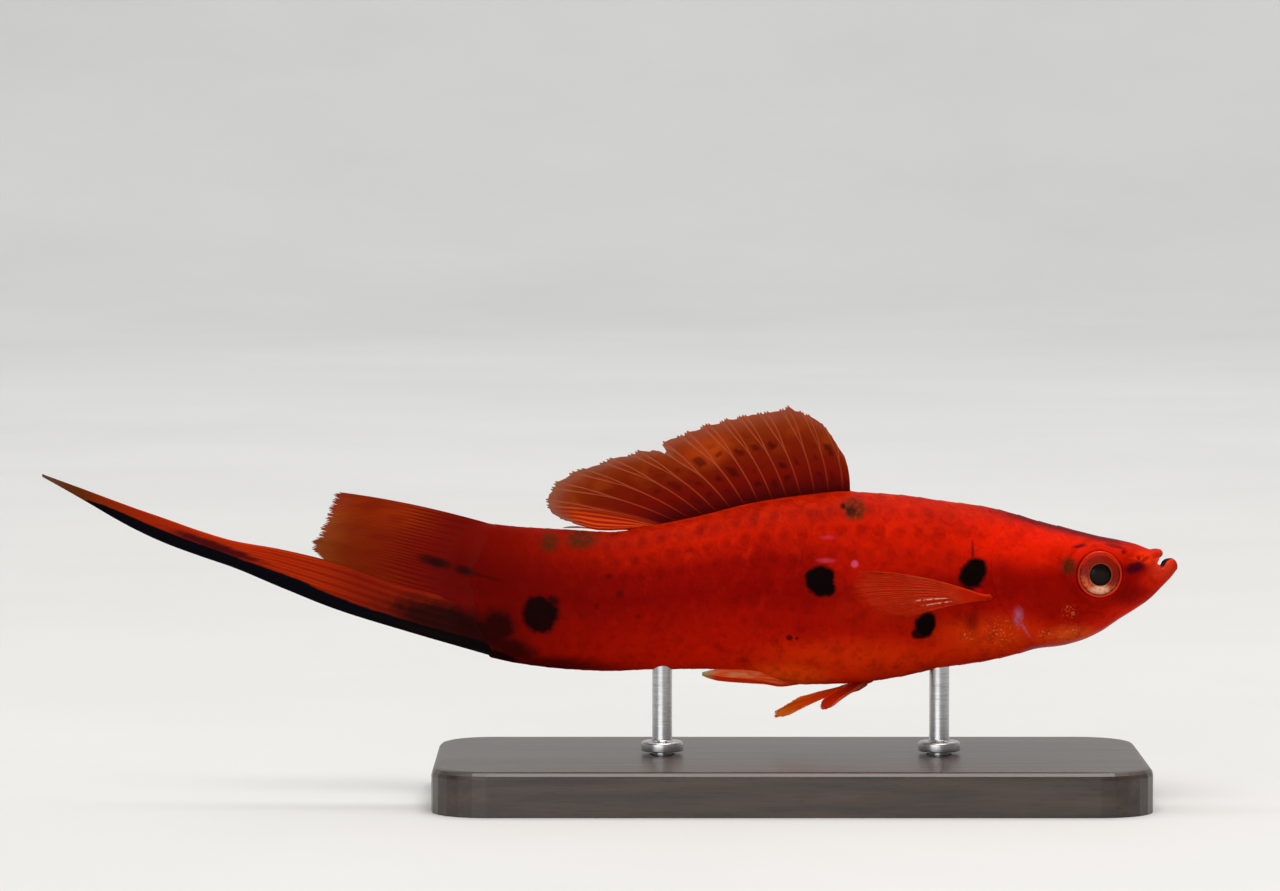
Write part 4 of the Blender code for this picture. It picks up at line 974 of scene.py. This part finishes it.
def fan(name, shape, root, heading, stretch=1.0, flesh=None, guide=None, notches=(), seed=1):
    """A fin whose rays spread from a root: root gives their feet and heading their directions."""
    keys = np.array(shape["keys"])
    # Two rows lie within the body.
    rows = np.concatenate([[-1, -0.5], np.linspace(0, 1, shape["rows"])])
    share, crest = ray_pattern(shape, rows)
    lengths = smooth(keys[:, 0], keys[:, 1], share) * stretch
    angles = np.radians(smooth(keys[:, 0], keys[:, 2], share))
    rng = np.random.default_rng(seed)
    tips = rng.normal(0, TIP_SPREAD, shape["rays"] * 4 + 1)
    # The web ends short of the rays' tips, which are a little uneven.
    uneven = np.interp(share * (len(tips) - 1), range(len(tips)), tips)
    lengths *= 1 - WEB_SHORT * (1 - crest[-1]) + uneven
    for place_u, depth, width in notches:
        lengths *= 1 - depth * hump(share, place_u, width)
    centres = np.empty((len(rows), len(share), 3))
    t = np.clip(rows, 0, 1)
    for j, (u, length, angle) in enumerate(zip(share, lengths, angles)):
        ahead, up, side = heading(angle)
        ripple = shape["wave"] * np.sin(RIPPLE_SPAN * u) * t ** 1.5
        reach = np.where(rows < 0, rows * ROOT_DEPTH, rows * length)
        bow = 4 * shape["bow"] * (1 - u ** 8) * length * t * (1 - t)
        centres[:, j] = (np.asarray(root(u)) + np.outer(reach, ahead) + np.outer(bow, up)
                         + np.outer(ripple, side))
    if guide:
        guide(centres, share)
    return sheet(name, centres, thickness(shape, rows, crest), fin_fields(share, rows, crest), flesh)


def thickness(shape, rows, crest):
    """Half a fin's thickness: its web and its rays' ridges, thinner towards the tips."""
    t = np.clip(rows, 0, 1)[:, None]
    web = shape["web_half"] + (shape["root_half"] - shape["web_half"]) * (1 - ease(0, 0.25, t))
    return web * (1 - 0.4 * ease(0.6, 1, t)) + shape["relief"] * crest * (1 - 0.6 * ease(0.3, 1, t))


def fin_fields(share, rows, crest):
    """Each point's shares across and along the fin, and how high a ray stands there."""
    u, t = np.meshgrid(share, rows)
    return {"fin": np.stack([u, t, np.zeros_like(u)], axis=-1), "ray": crest}


def strip(name, shape, edges, root_x=None, flesh=None, lean=0.0):
    """A long narrow fin between an upper and a lower edge, with its rays along it."""
    rows = np.linspace(0, 1, shape["rows"])
    share, crest = ray_pattern(shape, rows)
    table = np.array(edges)[::-1]
    run = np.interp(rows, (0, 1), (table[-1, 0], table[0, 0]))
    centres = np.empty((len(rows), len(share), 3))
    for j, v in enumerate(share):
        x = run.copy()
        if root_x is not None:
            foot = root_x(table[-1, 1] * (1 - v) + table[-1, 2] * v)
            x += (foot - run[0]) * (1 - ease(0, 0.25, rows))
        z = smooth(table[:, 0], table[:, 1], x) * (1 - v) + smooth(table[:, 0], table[:, 2], x) * v
        centres[:, j] = np.stack([x, lean * ease(0, 0.4, rows), z], axis=1)
    # The edges are rounded, and the far end tapers off.
    edge = np.sqrt(np.clip(np.minimum(share, 1 - share) / 0.06, 0.1, 1))
    half = thickness(shape, rows, crest) * np.minimum(1, (1 - rows[:, None]) * 6 + 0.3)
    return sheet(name, centres, half, fin_fields(share, rows, crest), flesh, edge)


def upright_heading(angle):
    """The directions of a ray that stands up: along it, towards its bow, and sideways."""
    lean = (-math.sin(angle), 0, math.cos(angle))
    return lean, (math.cos(angle), 0, math.sin(angle)), (0, 1, 0)


def rearward_heading(angle):
    """The same for a ray that runs back."""
    return (-math.cos(angle), 0, math.sin(angle)), (math.sin(angle), 0, math.cos(angle)), (0, 1, 0)


def dorsal_root(u):
    """Where the foot of a ray is, at a share along the fin's base."""
    x = DORSAL_BASE_X[0] + (DORSAL_BASE_X[1] - DORSAL_BASE_X[0]) * u
    return x, 0, back_z(x) + FIN_GAP * (1 - ease(0.8, 1.0, u))


def along_back(centres, share):
    """Draws the dorsal fin's last ray down to the back."""
    x = centres[..., 0]
    drawn = ease(0.92, 1.0, share)[None, :] * ease(-19.6, -17.2, x)
    centres[..., 2] += (back_z(x) + 0.1 - centres[..., 2]) * drawn


def caudal_root(u):
    z = CAUDAL_TOP_Z + (CAUDAL_LOW_Z - CAUDAL_TOP_Z) * u
    return caudal_x(z) - FIN_GAP, 0, z


def along_sword(centres, share):
    """Draws the tail fin's lowest rays down into the sword's upper edge."""
    table = np.array(SWORD)[::-1]
    target = smooth(table[:, 0], table[:, 1], centres[..., 0]) - 0.25
    centres[..., 2] += (target - centres[..., 2]) * ease(0.7, 1.0, share)[None, :]


def caudal_flesh(centres):
    """Half the thickness of the flesh that runs out over the roots of the tail fin."""
    x, z = centres[..., 0], centres[..., 2]
    behind = caudal_x(z) - x
    # Ahead of the arc it sinks below the skin.
    sunk = 1 - 0.15 * ease(0.1, -0.5, behind)
    return flank_y(np.maximum(x, TAIL_X), z) * (1 - ease(0.2, 0.2 + CAUDAL_FLESH, behind)) * sunk


def pectoral_fin(side):
    out, spread = SIDES[side], math.radians(PECTORAL_SPREAD[side])

    def root(u):
        top, low = np.array(PECTORAL_ROOT["top"]), np.array(PECTORAL_ROOT["low"])
        x, z = top + (low - top) * u
        return x, out * (flank_y(x, z) + PECTORAL_OUT), z

    def heading(angle):
        level = (-math.cos(spread), out * math.sin(spread), 0)
        ahead = (level[0] * math.cos(angle), level[1] * math.cos(angle), math.sin(angle))
        return ahead, (0, 0, 1), (-level[1], -level[0], 0)

    return fan(f"pectoral_{side}", PECTORAL, root, heading, seed=7 + out)


def pelvic_fin(side):
    out = SIDES[side]
    first = np.array(PELVIC_HEADING[side])
    first /= np.linalg.norm(first)
    inward = np.array(INWARD) - first * (first @ INWARD)
    inward /= np.linalg.norm(inward)
    normal = np.cross(first, inward)

    def root(u):
        x = PELVIC_ROOT["front_x"] + (PELVIC_ROOT["rear_x"] - PELVIC_ROOT["front_x"]) * u
        y = PELVIC_ROOT["y"]
        return x, out * y, belly_z(x, y) - FIN_GAP - PELVIC["root_half"]

    def heading(angle):
        return first * math.cos(angle) + inward * math.sin(angle), inward, normal

    shape = {**PELVIC, "keys": PELVIC_KEYS[side]}
    return fan(f"pelvic_{side}", shape, root, heading, stretch=PELVIC_STRETCH[side], seed=11 + out)


def fin_nodes(name):
    """A fin's new nodes, its places, its ray heights, and the shares across it and out along it."""
    nodes = Nodes(name)
    u, t, _ = nodes.read("fin", "Vector").parts()
    return nodes, nodes.read("at", "Vector"), nodes.read("ray"), u, t


def fin_shader(nodes, at, colour, clearness, glow):
    """A fin's surface: lit from both faces, and partly clear."""
    solid = nodes.principled(colour, 0.5, (at.noise(5.0), 0.2, 0.04), 0.03)
    lit = nodes.mix(glow, solid, nodes.add("ShaderNodeBsdfTranslucent", {"Color": colour}))
    return nodes.finish(nodes.mix(clearness, lit, nodes.add("ShaderNodeBsdfTransparent")))


def dorsal_material():
    nodes, at, ray, u, t = fin_nodes("dorsal_web")
    web = t.ramp((0.0, (0.07, 0.001, 0.0005)), (0.10, (0.13, 0.002, 0.0006)), (0.25, (0.22, 0.005, 0.0004)),
                 (0.6, (0.25, 0.015, 0.0006)), (1.0, (0.36, 0.050, 0.005)))
    rays = t.ramp((0.0, (0.18, 0.004, 0.001)), (0.2, (0.42, 0.045, 0.014)), (0.7, (0.52, 0.11, 0.045)),
                  (1.0, (0.46, 0.13, 0.06)))
    show = ray.step(0.25, 0.85) * (u.step(0.0, 0.5) * 0.3 + 0.5)
    cloud = at.noise(0.5, 3.0).step(0.45, 0.7) * t.step(0.35, 0.7)
    orange = oval(at, *DORSAL_GLOW).step(1.3, 0.3)
    # Dark red spots in the webs between the front rays.
    spots = (u * DORSAL["rays"]).from_middle().step(0.14, 0.40)
    spots *= (t * 4.6 + at.noise(0.6) * 1.6).from_middle().step(0.34, 0.1)
    spots *= at.noise(0.45, 2.0).step(0.42, 0.55) * t.step(0.85, 0.6) * u.step(0.95, 0.5)
    # Flame-red strands along the last rays, and a greyer edge on the rear half.
    flame = u.step(0.88, 0.95) * t.step(1.0, 0.7)
    strands = (u * 65.0).from_middle().step(0.12, 0.4).blend((0.50, 0.016, 0.001), (0.98, 0.11, 0.012))
    grey = t.step(0.85, 1.0) * u.step(0.35, 0.75)
    colour = paint(web, (cloud * 0.5, (0.42, 0.06, 0.006)), (orange * 0.6, (0.62, 0.075, 0.006)),
                   (spots * 0.7, (0.06, 0.001, 0.0005)), (show, rays), (flame * 0.85, strands),
                   (grey * 0.4, (0.34, 0.14, 0.07)))
    return fin_shader(nodes, at, colour, (t.step(0.75, 1.0) * 0.17 + 0.015) * ray.step(1.1, 0.3), 0.3)


def caudal_material():
    nodes, at, ray, u, t = fin_nodes("caudal_web")
    web = t.ramp((0.0, (0.16, 0.003, 0.0004)), (0.3, (0.12, 0.002, 0.0004)), (0.7, (0.10, 0.004, 0.0003)),
                 (1.0, (0.20, 0.034, 0.002)))
    rays = t.ramp((0.0, (0.20, 0.003, 0.0003)), (0.35, (0.22, 0.006, 0.0004)), (0.8, (0.25, 0.022, 0.0008)),
                  (1.0, (0.32, 0.060, 0.003)))
    upper = u.step(0.45, 0.1) * t.step(0.15, 0.5)
    cloud = at.stretched((0.3, 1, 1)).noise(1.0, 3.0).step(0.4, 0.7)
    # The lines between the rays grow darker away from the body.
    lines = ray.step(0.5, 0.1) * (t.step(0.1, 0.45) * 0.6 + 0.3)
    colour = paint(rays, (upper * 0.8, (0.40, 0.032, 0.002)), (cloud * 0.4, (0.20, 0.005, 0.0005)),
                   (lines, web), (t.step(0.5, 0.08), body_colour(at, nodes.read("height"))))
    colour = add_marks(at, colour, sides=("both",))
    return fin_shader(nodes, at, colour, t.step(0.8, 1.0) * 0.14 * ray.step(1.0, 0.4),
                      t.step(0.05, 0.6) * 0.25)


def sword_material():
    nodes, at, ray, u, t = fin_nodes("sword_web")
    start, end = SWORD_BLACK
    way = nodes.add("ShaderNodeMapRange", {"Value": at.parts()[0], "From Min": start, "From Max": end})
    red = way.ramp((0.0, (0.13, 0.026, 0.003)), (0.07, (0.24, 0.022, 0.001)), (0.2, (0.34, 0.018, 0.0008)),
                   (0.6, (0.50, 0.026, 0.0008)), (0.85, (0.42, 0.024, 0.0008)), (1.0, (0.26, 0.012, 0.0006)))
    lines = ray.step(0.5, 0.15) * way.step(0.45, 0.8)
    ragged = at.stretched((0.5, 1, 3.0)).noise(1.0, 4.0, 0.65) - 0.5
    streak = (oval(at, *SWORD_STREAK) + ragged).step(1.3, 0.4)
    # The black lower edge, whose upper limit runs along the sword.
    limit = way.ramp(*((share, (level,) * 3) for share, level in SWORD_LIMIT))
    black = (u - limit + ragged * 0.07).step(-0.03, 0.03)
    colour = paint(red, (lines * 0.5, (0.16, 0.003, 0.0005)),
                   (t.step(0.12, 0.02), body_colour(at, nodes.read("height"))),
                   (streak * 0.9, (0.03, 0.001, 0.004)), (black, (0.001, 0.001, 0.003)))
    colour = add_marks(at, colour, sides=("both",))
    return fin_shader(nodes, at, colour, t.step(0.9, 1.0) * 0.2, 0.15)


def pectoral_material():
    nodes, at, ray, u, t = fin_nodes("pectoral_web")
    web = t.ramp((0.0, (0.80, 0.020, 0.001)), (0.3, (0.54, 0.014, 0.0006)), (1.0, (0.46, 0.010, 0.0004)))
    # Fine pale lines along the fin, and two lines of painted glints low on it.
    fine = (u * 24.0).from_middle().step(0.22, 0.05) * t.step(0.1, 0.2) * t.step(0.9, 0.5)
    painted_glint = (u * 7.0 + 0.6).from_middle().step(0.15, 0.08) * t.step(0.22, 0.3) * t.step(0.62, 0.5)
    painted_glint *= u.step(0.6, 0.66) * u.step(0.94, 0.88) * at.noise(4.0).step(0.42, 0.54)
    colour = paint(web, (ray.step(0.2, 0.8) * 0.7, (0.90, 0.085, 0.016)),
                   (u.step(0.10, 0.02) * 0.6, (0.80, 0.05, 0.005)), (fine * 0.55, (1.0, 0.16, 0.05)),
                   (painted_glint * 0.85, (1.0, 0.62, 0.5)))
    # It clears towards its tip and its lower edge, least of all along the rays and the painted glints.
    fade = (t.step(0.08, 0.8) * 0.84 + 0.13).most(u.step(0.25, 0.95) * t.step(0.1, 0.3) * 0.8)
    between = (ray.step(0.9, 0.15) * t.step(0.95, 0.5) * 0.35 + 0.65).most(t.step(0.7, 1.0))
    clear = fade * between * (u.step(0.0, 0.12) * 0.4 + 0.6) * (painted_glint * -0.9 + 1.0)
    return fin_shader(nodes, at, colour, clear, 0.3)


def pelvic_material(side):
    nodes, at, ray, u, t = fin_nodes(f"pelvic_web_{side}")
    colour = paint(t.ramp(*zip((0.0, 0.5, 1.0), PELVIC_TONES[side])),
                   (ray.step(0.3, 0.9) * 0.4, (1.0, 0.22, 0.04)),
                   (ray.step(0.3, 0.0) * t.step(0.1, 0.4) * 0.4, (0.50, 0.03, 0.001)),
                   (u.step(0.1, 0.02).most(u.step(0.92, 0.98)) * 0.45, (1.0, 0.42, 0.20)))
    return fin_shader(nodes, at, colour, t.step(0.7, 1.0) * 0.1, 0.7)


def gonopodium_material():
    nodes, at, ray, u, t = fin_nodes("gonopodium_web")
    cloud = at.stretched((0.5, 1.0, 2.5)).noise(1.2, 3.0).step(0.4, 0.62)
    rod = (u + t * 0.35 - 0.83).step(0.0, 0.1)
    colour = paint(cloud.blend((1.0, 0.16, 0.012), (1.0, 0.44, 0.20)),
                   (ray.step(0.4, 0.95) * 0.5, (1.0, 0.5, 0.26)),
                   (u.step(0.34, 0.16) * 0.6, (1.0, 0.16, 0.010)), (rod, (0.80, 0.045, 0.002)),
                   (t.step(0.35, 0.05), (0.80, 0.07, 0.003)), (t.step(0.84, 1.0), (0.62, 0.50, 0.16)))
    return fin_shader(nodes, at, colour, u.step(0.6, 0.5) * t.step(0.7, 1.0) * 0.3, 0.6)


def make_fins():
    """All the fins and the sword."""
    dorsal = fan("dorsal", DORSAL, dorsal_root, upright_heading, guide=along_back, notches=DORSAL_NOTCHES,
                 seed=3)
    finish_piece(dorsal, dorsal_material(), ("dorsal_fin",))
    caudal = fan("caudal", CAUDAL, caudal_root, rearward_heading, flesh=caudal_flesh, guide=along_sword,
                 seed=4)
    finish_piece(caudal, caudal_material(), ("caudal_fin",))
    sword = strip("sword_blade", SWORD_SHAPE, SWORD, root_x=lambda z: caudal_x(z) + 0.6,
                  flesh=caudal_flesh)
    finish_piece(sword, sword_material(), ("sword",))
    gonopodium = strip("gonopodium_rod", GONOPODIUM_SHAPE, GONOPODIUM, lean=GONOPODIUM_Y)
    finish_piece(gonopodium, gonopodium_material(), ("gonopodium",))
    web = pectoral_material()
    for side in SIDES:
        finish_piece(pectoral_fin(side), web, (f"pectoral_fin_{side}",))
        finish_piece(pelvic_fin(side), pelvic_material(side), (f"pelvic_fin_{side}",))


# Eyes

# Half the profile of the iris, from the pupil's rim to the edge of the eye: radius and height.
IRIS = ((0.99, 0.56), (1.02, 0.62), (1.08, 0.62), (1.25, 0.55), (1.55, 0.43), (1.76, 0.33), (1.84, 0.29),
        (1.90, 0.33), (1.99, 0.35), (2.08, 0.27), (2.12, 0.1), (2.12, -0.1))
LENS = ((0.0, 0.70), (0.35, 0.69), (0.7, 0.63), (0.95, 0.52), (1.02, 0.42))
CORNEA = {"rim": 0.28, "rise": 0.72}
TURNS = 96


def lathe(profile):
    """Points and faces of a profile of (radius, height) turned about the eye's axis, outward along Y."""
    angle = np.linspace(0, 2 * math.pi, TURNS, endpoint=False)
    profile = np.asarray(profile)
    radius, height = profile[:, 0][:, None], profile[:, 1][:, None]
    points = np.stack([radius * np.cos(angle), np.broadcast_to(height, (len(profile), TURNS)),
                       radius * np.sin(angle)], axis=-1)
    return points, grid_faces(len(profile), TURNS, wrap=True)


def finer(profile, count):
    """A profile with more points on a smooth curve through its own."""
    profile = np.asarray(profile, float)
    run = np.concatenate([[0], np.cumsum(np.hypot(*np.diff(profile, axis=0).T))])
    even = np.linspace(0, run[-1], count)
    return np.stack([smooth(run, profile[:, 0], even), smooth(run, profile[:, 1], even)], axis=1)


def in_socket(points, side):
    """Eye points turned and moved into a head's socket."""
    out = SIDES[side]
    yaw = math.radians(EYE["yaw"])
    x = points[..., 0] * math.cos(yaw) + points[..., 1] * math.sin(yaw)
    y = points[..., 1] * math.cos(yaw) - points[..., 0] * math.sin(yaw)
    return np.stack([EYE["x"] + x, out * (EYE["y"] + y), EYE["z"] + points[..., 2]], axis=-1)


def eye_piece(name, side, profile, count):
    points, faces = lathe(finer(profile, count))
    if SIDES[side] > 0:
        faces = faces[:, ::-1]
    flat = points.reshape(-1, 3)
    return place(name, in_socket(flat, side), faces, eye=flat)


def eye_nodes(name):
    """The new nodes of a piece of the eye, its places, their x and z, and how far they are from its axis."""
    nodes = Nodes(name)
    eye = nodes.read("eye", "Vector")
    x, _, z = eye.parts()
    return nodes, eye, x, z, nodes.join(x, 0.0, z).length()


def iris_material():
    nodes, eye, x, z, radius = eye_nodes("iris")
    grain = nodes.join(z.math("ARCTAN2", x) * 3.0, radius * 1.2, 0.0).noise(2.2, 4.0, 0.65)
    fleck = eye.noise(3.4, 4.0, 0.65)
    shiny = fleck.step(0.4, 0.65)
    # Red-brown above; copper and gold below, partly the iris's own colour and partly painted light; and a
    # painted highlight, the bright patch below the pupil.
    colour = (radius * 0.45).ramp((0.44, (0.16, 0.010, 0.002)), (0.52, (0.20, 0.007, 0.001)),
                                  (0.74, (0.24, 0.006, 0.001)), (0.84, (0.18, 0.004, 0.001)))
    low = (z + x * 0.3).step(-0.1, -1.2)
    # The bright patch below the pupil is a painted highlight.
    patch = oval(eye, -0.05, -1.32, 1.0, 0.5).step(1.2, 0.2) * (fleck.step(0.35, 0.6) * 0.2 + 0.8)
    ring = radius.step(1.74, 1.80) * radius.step(1.90, 1.85)
    rim = radius.step(1.85, 1.91).most(radius.step(1.72, 1.78) * z.step(0.5, 1.2))
    colour = paint(colour, (low * 0.9, shiny.blend((0.42, 0.035, 0.007), (0.74, 0.17, 0.06))),
                   (patch, (1.0, 0.56, 0.36)), (grain.step(0.5, 0.72) * 0.45, (0.12, 0.006, 0.002)),
                   (radius.step(1.12, 1.05) * 0.5, (0.36, 0.07, 0.022)),
                   (ring * 0.85, (0.05, 0.002, 0.001)), (rim * 0.9, (0.60, 0.018, 0.001)))
    metal = shiny * low * radius.step(1.85, 1.75) * 0.25
    shader = nodes.principled(colour, fleck * 0.3 + 0.25, (grain, 0.5, 0.05), 0.08, Metallic=metal)
    return nodes.finish(shader)


def pupil_material():
    nodes, eye, _, _, radius = eye_nodes("pupil")
    # The pupil's middle is a little lighter and greyer: a painted reflection.
    painted_reflection = radius.step(0.95, 0.2) * eye.noise(1.4, 2.0)
    colour = painted_reflection.blend((0.002, 0.001, 0.001), (0.018, 0.009, 0.007))
    return nodes.finish(nodes.principled(colour, 0.3, specular=0.1))


def cornea_material():
    nodes = Nodes("cornea")
    gloss = nodes.add("ShaderNodeBsdfGlossy", {"Roughness": 0.05, "Color": (0.9, 0.9, 0.92, 1)})
    facing = nodes.add("ShaderNodeFresnel", {"IOR": 1.2})
    share = facing * (nodes.read("eye", "Vector").noise(2.0) * 0.06 + 0.07)
    return nodes.finish(nodes.mix(share, nodes.add("ShaderNodeBsdfTransparent"), gloss))


def make_eyes():
    """An eyeball with its iris, a pupil and a cornea on each side."""
    iris, pupil, cornea = iris_material(), pupil_material(), cornea_material()
    # The cornea is a shallow cap of a ball, and the eyeball's back is half an egg.
    rim, rise, radius = CORNEA["rim"], CORNEA["rise"], EYE["radius"]
    ball_radius = (radius ** 2 + rise ** 2) / (2 * rise)
    angle = np.linspace(0, math.asin(radius / ball_radius), 24)
    dome = np.stack([ball_radius * np.sin(angle), rim + rise - ball_radius * (1 - np.cos(angle))], axis=1)
    angle = np.linspace(0, math.pi / 2, 24)
    back = np.stack([radius * np.cos(angle), -EYE["inner_depth"] * np.sin(angle)], axis=1)
    ball = np.concatenate([IRIS, back[2:]])
    for side in SIDES:
        finish_piece(eye_piece(f"iris_{side}", side, ball, 90), iris, (f"eye_{side}",))
        finish_piece(eye_piece(f"pupil_{side}", side, LENS, 24), pupil)
        finish_piece(eye_piece(f"cornea_{side}", side, dome, 32), cornea)


# Stand, floor, lights and camera

def object_nodes(name):
    """A thing's new nodes and its own coordinates in metres."""
    nodes = Nodes(name)
    return nodes, nodes.add("ShaderNodeTexCoord", None, "Object")


def wood_material():
    nodes, where = object_nodes("dark_wood")
    rings = where.stretched((60.0, 900.0, 900.0)).noise(1.0, 5.0, 0.62)
    pores = where.stretched((400.0, 5000.0, 5000.0)).noise(1.0)
    colour = rings.ramp((0.25, (0.012, 0.008, 0.006)), (0.5, (0.035, 0.021, 0.014)),
                        (0.75, (0.07, 0.042, 0.027)))
    colour = (pores.step(0.55, 0.75) * 0.6).blend(colour, (0.006, 0.004, 0.003))
    coat = {"Coat Weight": 0.3, "Coat Roughness": 0.25}
    return nodes.finish(nodes.principled(colour, rings * 0.25 + 0.3, (pores, 0.3, 0.05), **coat))


def steel_material():
    nodes, where = object_nodes("brushed_steel")
    lines = where.stretched((400.0, 400.0, 9000.0)).noise(1.0, 3.0, 0.6)
    colour = lines.ramp((0.3, (0.42, 0.42, 0.43)), (0.7, (0.62, 0.62, 0.62)))
    return nodes.finish(nodes.principled(colour, lines * 0.25 + 0.18, (lines, 0.2, 0.02), Metallic=1.0))


def dress_stand():
    """Gives the base its wood, and puts finely turned rods in the place of the plain ones."""
    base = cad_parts["stand_base"]
    wood, steel = wood_material(), steel_material()
    for slot in base.material_slots:
        slot.material = wood
    for end in ("front", "rear"):
        low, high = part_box(f"stand_rod_{end}")
        middle, foot, top = (low + high) / 2 / MM, low.z / MM, high.z / MM
        collar_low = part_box("stand_base")[1].z / MM + FIN_GAP
        points, faces = lathe(rod_profile(foot, collar_low, top))
        points = points[..., (0, 2, 1)] + np.array((middle.x, middle.y, 0))
        rod = straight_object(f"rod_{end}", points.reshape(-1, 3), faces)
        rod.data.set_sharp_from_angle(angle=math.radians(40))
        finish_piece(rod, steel, (f"stand_rod_{end}",))


def floor_material():
    nodes, where = object_nodes("pale_floor")
    colour = where.noise(8.0, 4.0, 0.6).ramp((0.3, (0.57, 0.57, 0.56)), (0.7, (0.61, 0.61, 0.60)))
    return nodes.finish(nodes.principled(colour, 0.8, specular=0.2))


def make_stage():
    """A pale floor that curves up into a wall all round."""
    flat, bend_radius, wall_top = 1.0, 0.9, 1.8
    curve = [(flat + bend_radius * math.sin(a), bend_radius * (1 - math.cos(a)))
             for a in np.linspace(0, math.pi / 2, 24)]
    profile = [(0.02, 0.0), *curve, (flat + bend_radius, wall_top)]
    turn = np.linspace(0, 2 * math.pi, TURNS, endpoint=False)
    points = [(r * math.cos(a), r * math.sin(a), z) for r, z in profile for a in turn]
    mesh = bpy.data.meshes.new("floor")
    faces = [*grid_faces(len(profile), TURNS, wrap=True).tolist(), list(range(TURNS))[::-1]]
    mesh.from_pydata(points, [], faces)
    mesh.shade_smooth()
    mesh.materials.append(floor_material())
    link_object("floor", mesh)


def rod_profile(foot, collar_low, top):
    """A rod from its top down to its foot, with a rounded collar: radius and height."""
    radius, collar, thick, bevel = 0.9, 1.9, 0.9, 0.1
    upper_round, lower_round, hollow = 0.28, 0.12, 0.25
    high = collar_low + thick
    turn = np.linspace(0, math.pi / 2, 7)
    cove = [(radius + hollow * (1 - math.sin(a)), high + hollow * (1 - math.cos(a))) for a in turn[::-1]]
    upper = [(collar - upper_round * (1 - math.cos(a)), high - upper_round * (1 - math.sin(a)))
             for a in turn[::-1]]
    lower = [(collar - lower_round * (1 - math.cos(a)), collar_low + lower_round * (1 - math.sin(a)))
             for a in turn]
    return [(0.001, top), (radius - bevel, top), (radius, top - bevel), *cove, *upper, *lower,
            (radius, collar_low), (radius, foot), (0.001, foot)]


def area_light(name, spot, aim, size, power, colour=(1, 1, 1)):
    light = bpy.data.lights.new(name, "AREA")
    light.shape, light.size, light.size_y = "RECTANGLE", size[0], size[1]
    light.energy, light.color = power, colour
    obj = link_object(name, light)
    obj.location = spot
    point_at(obj, aim)


def point_at(obj, aim):
    """Turns a light or the camera towards a place."""
    way = Vector(aim) - obj.location
    obj.rotation_euler = way.to_track_quat("-Z", "Y").to_euler()


# One pixel of the picture in millimetres, and where the camera looks from.
PIXEL = 0.09
PICTURE = (1280, 891)
AIM = (-13.5, 0.0, 31.9)
DISTANCE, ELEVATION = 550.0, 3.5


def make_camera():
    """The camera from the model's right side, at the picture's scale."""
    camera = bpy.data.cameras.new("camera")
    camera.sensor_fit, camera.sensor_width = "HORIZONTAL", 36.0
    camera.lens = camera.sensor_width * DISTANCE / (PICTURE[0] * PIXEL)
    camera.clip_start, camera.clip_end = 0.01, 20.0
    obj = link_object("camera", camera)
    rise = math.radians(ELEVATION)
    aim = np.array(AIM) * MM
    obj.location = aim + np.array((0, -math.cos(rise), math.sin(rise))) * DISTANCE * MM
    point_at(obj, aim)
    bpy.context.scene.camera = obj


def make_lights():
    """A pale surrounding, three lights on the model and one on the wall."""
    world = bpy.data.worlds.new("studio")
    world.use_nodes = True
    world.node_tree.nodes["Background"].inputs["Color"].default_value = (0.9, 0.9, 0.92, 1)
    world.node_tree.nodes["Background"].inputs["Strength"].default_value = 0.42
    bpy.context.scene.world = world
    area_light("key", (0.04, -0.16, 0.62), (0, 0, 0.02), (0.5, 0.4), 3.7, (1.0, 0.97, 0.93))
    area_light("fill", (-0.3, -0.75, 0.16), (0, 0, 0.02), (0.7, 0.3), 2.0, (0.97, 0.98, 1.0))
    area_light("back", (0.25, 0.5, 0.6), (0, 0, 0.02), (0.5, 0.3), 0.5)
    area_light("wall", (0.0, 0.6, 1.3), (0, 1.5, 0.0), (1.6, 0.6), 15.0)
    settings = bpy.context.scene.view_settings
    settings.view_transform, settings.look = "Standard", "None"


make_skin(skin_material())
make_scales(scale_material())
make_fins()
make_eyes()
dress_stand()
make_stage()
make_lights()
make_camera()
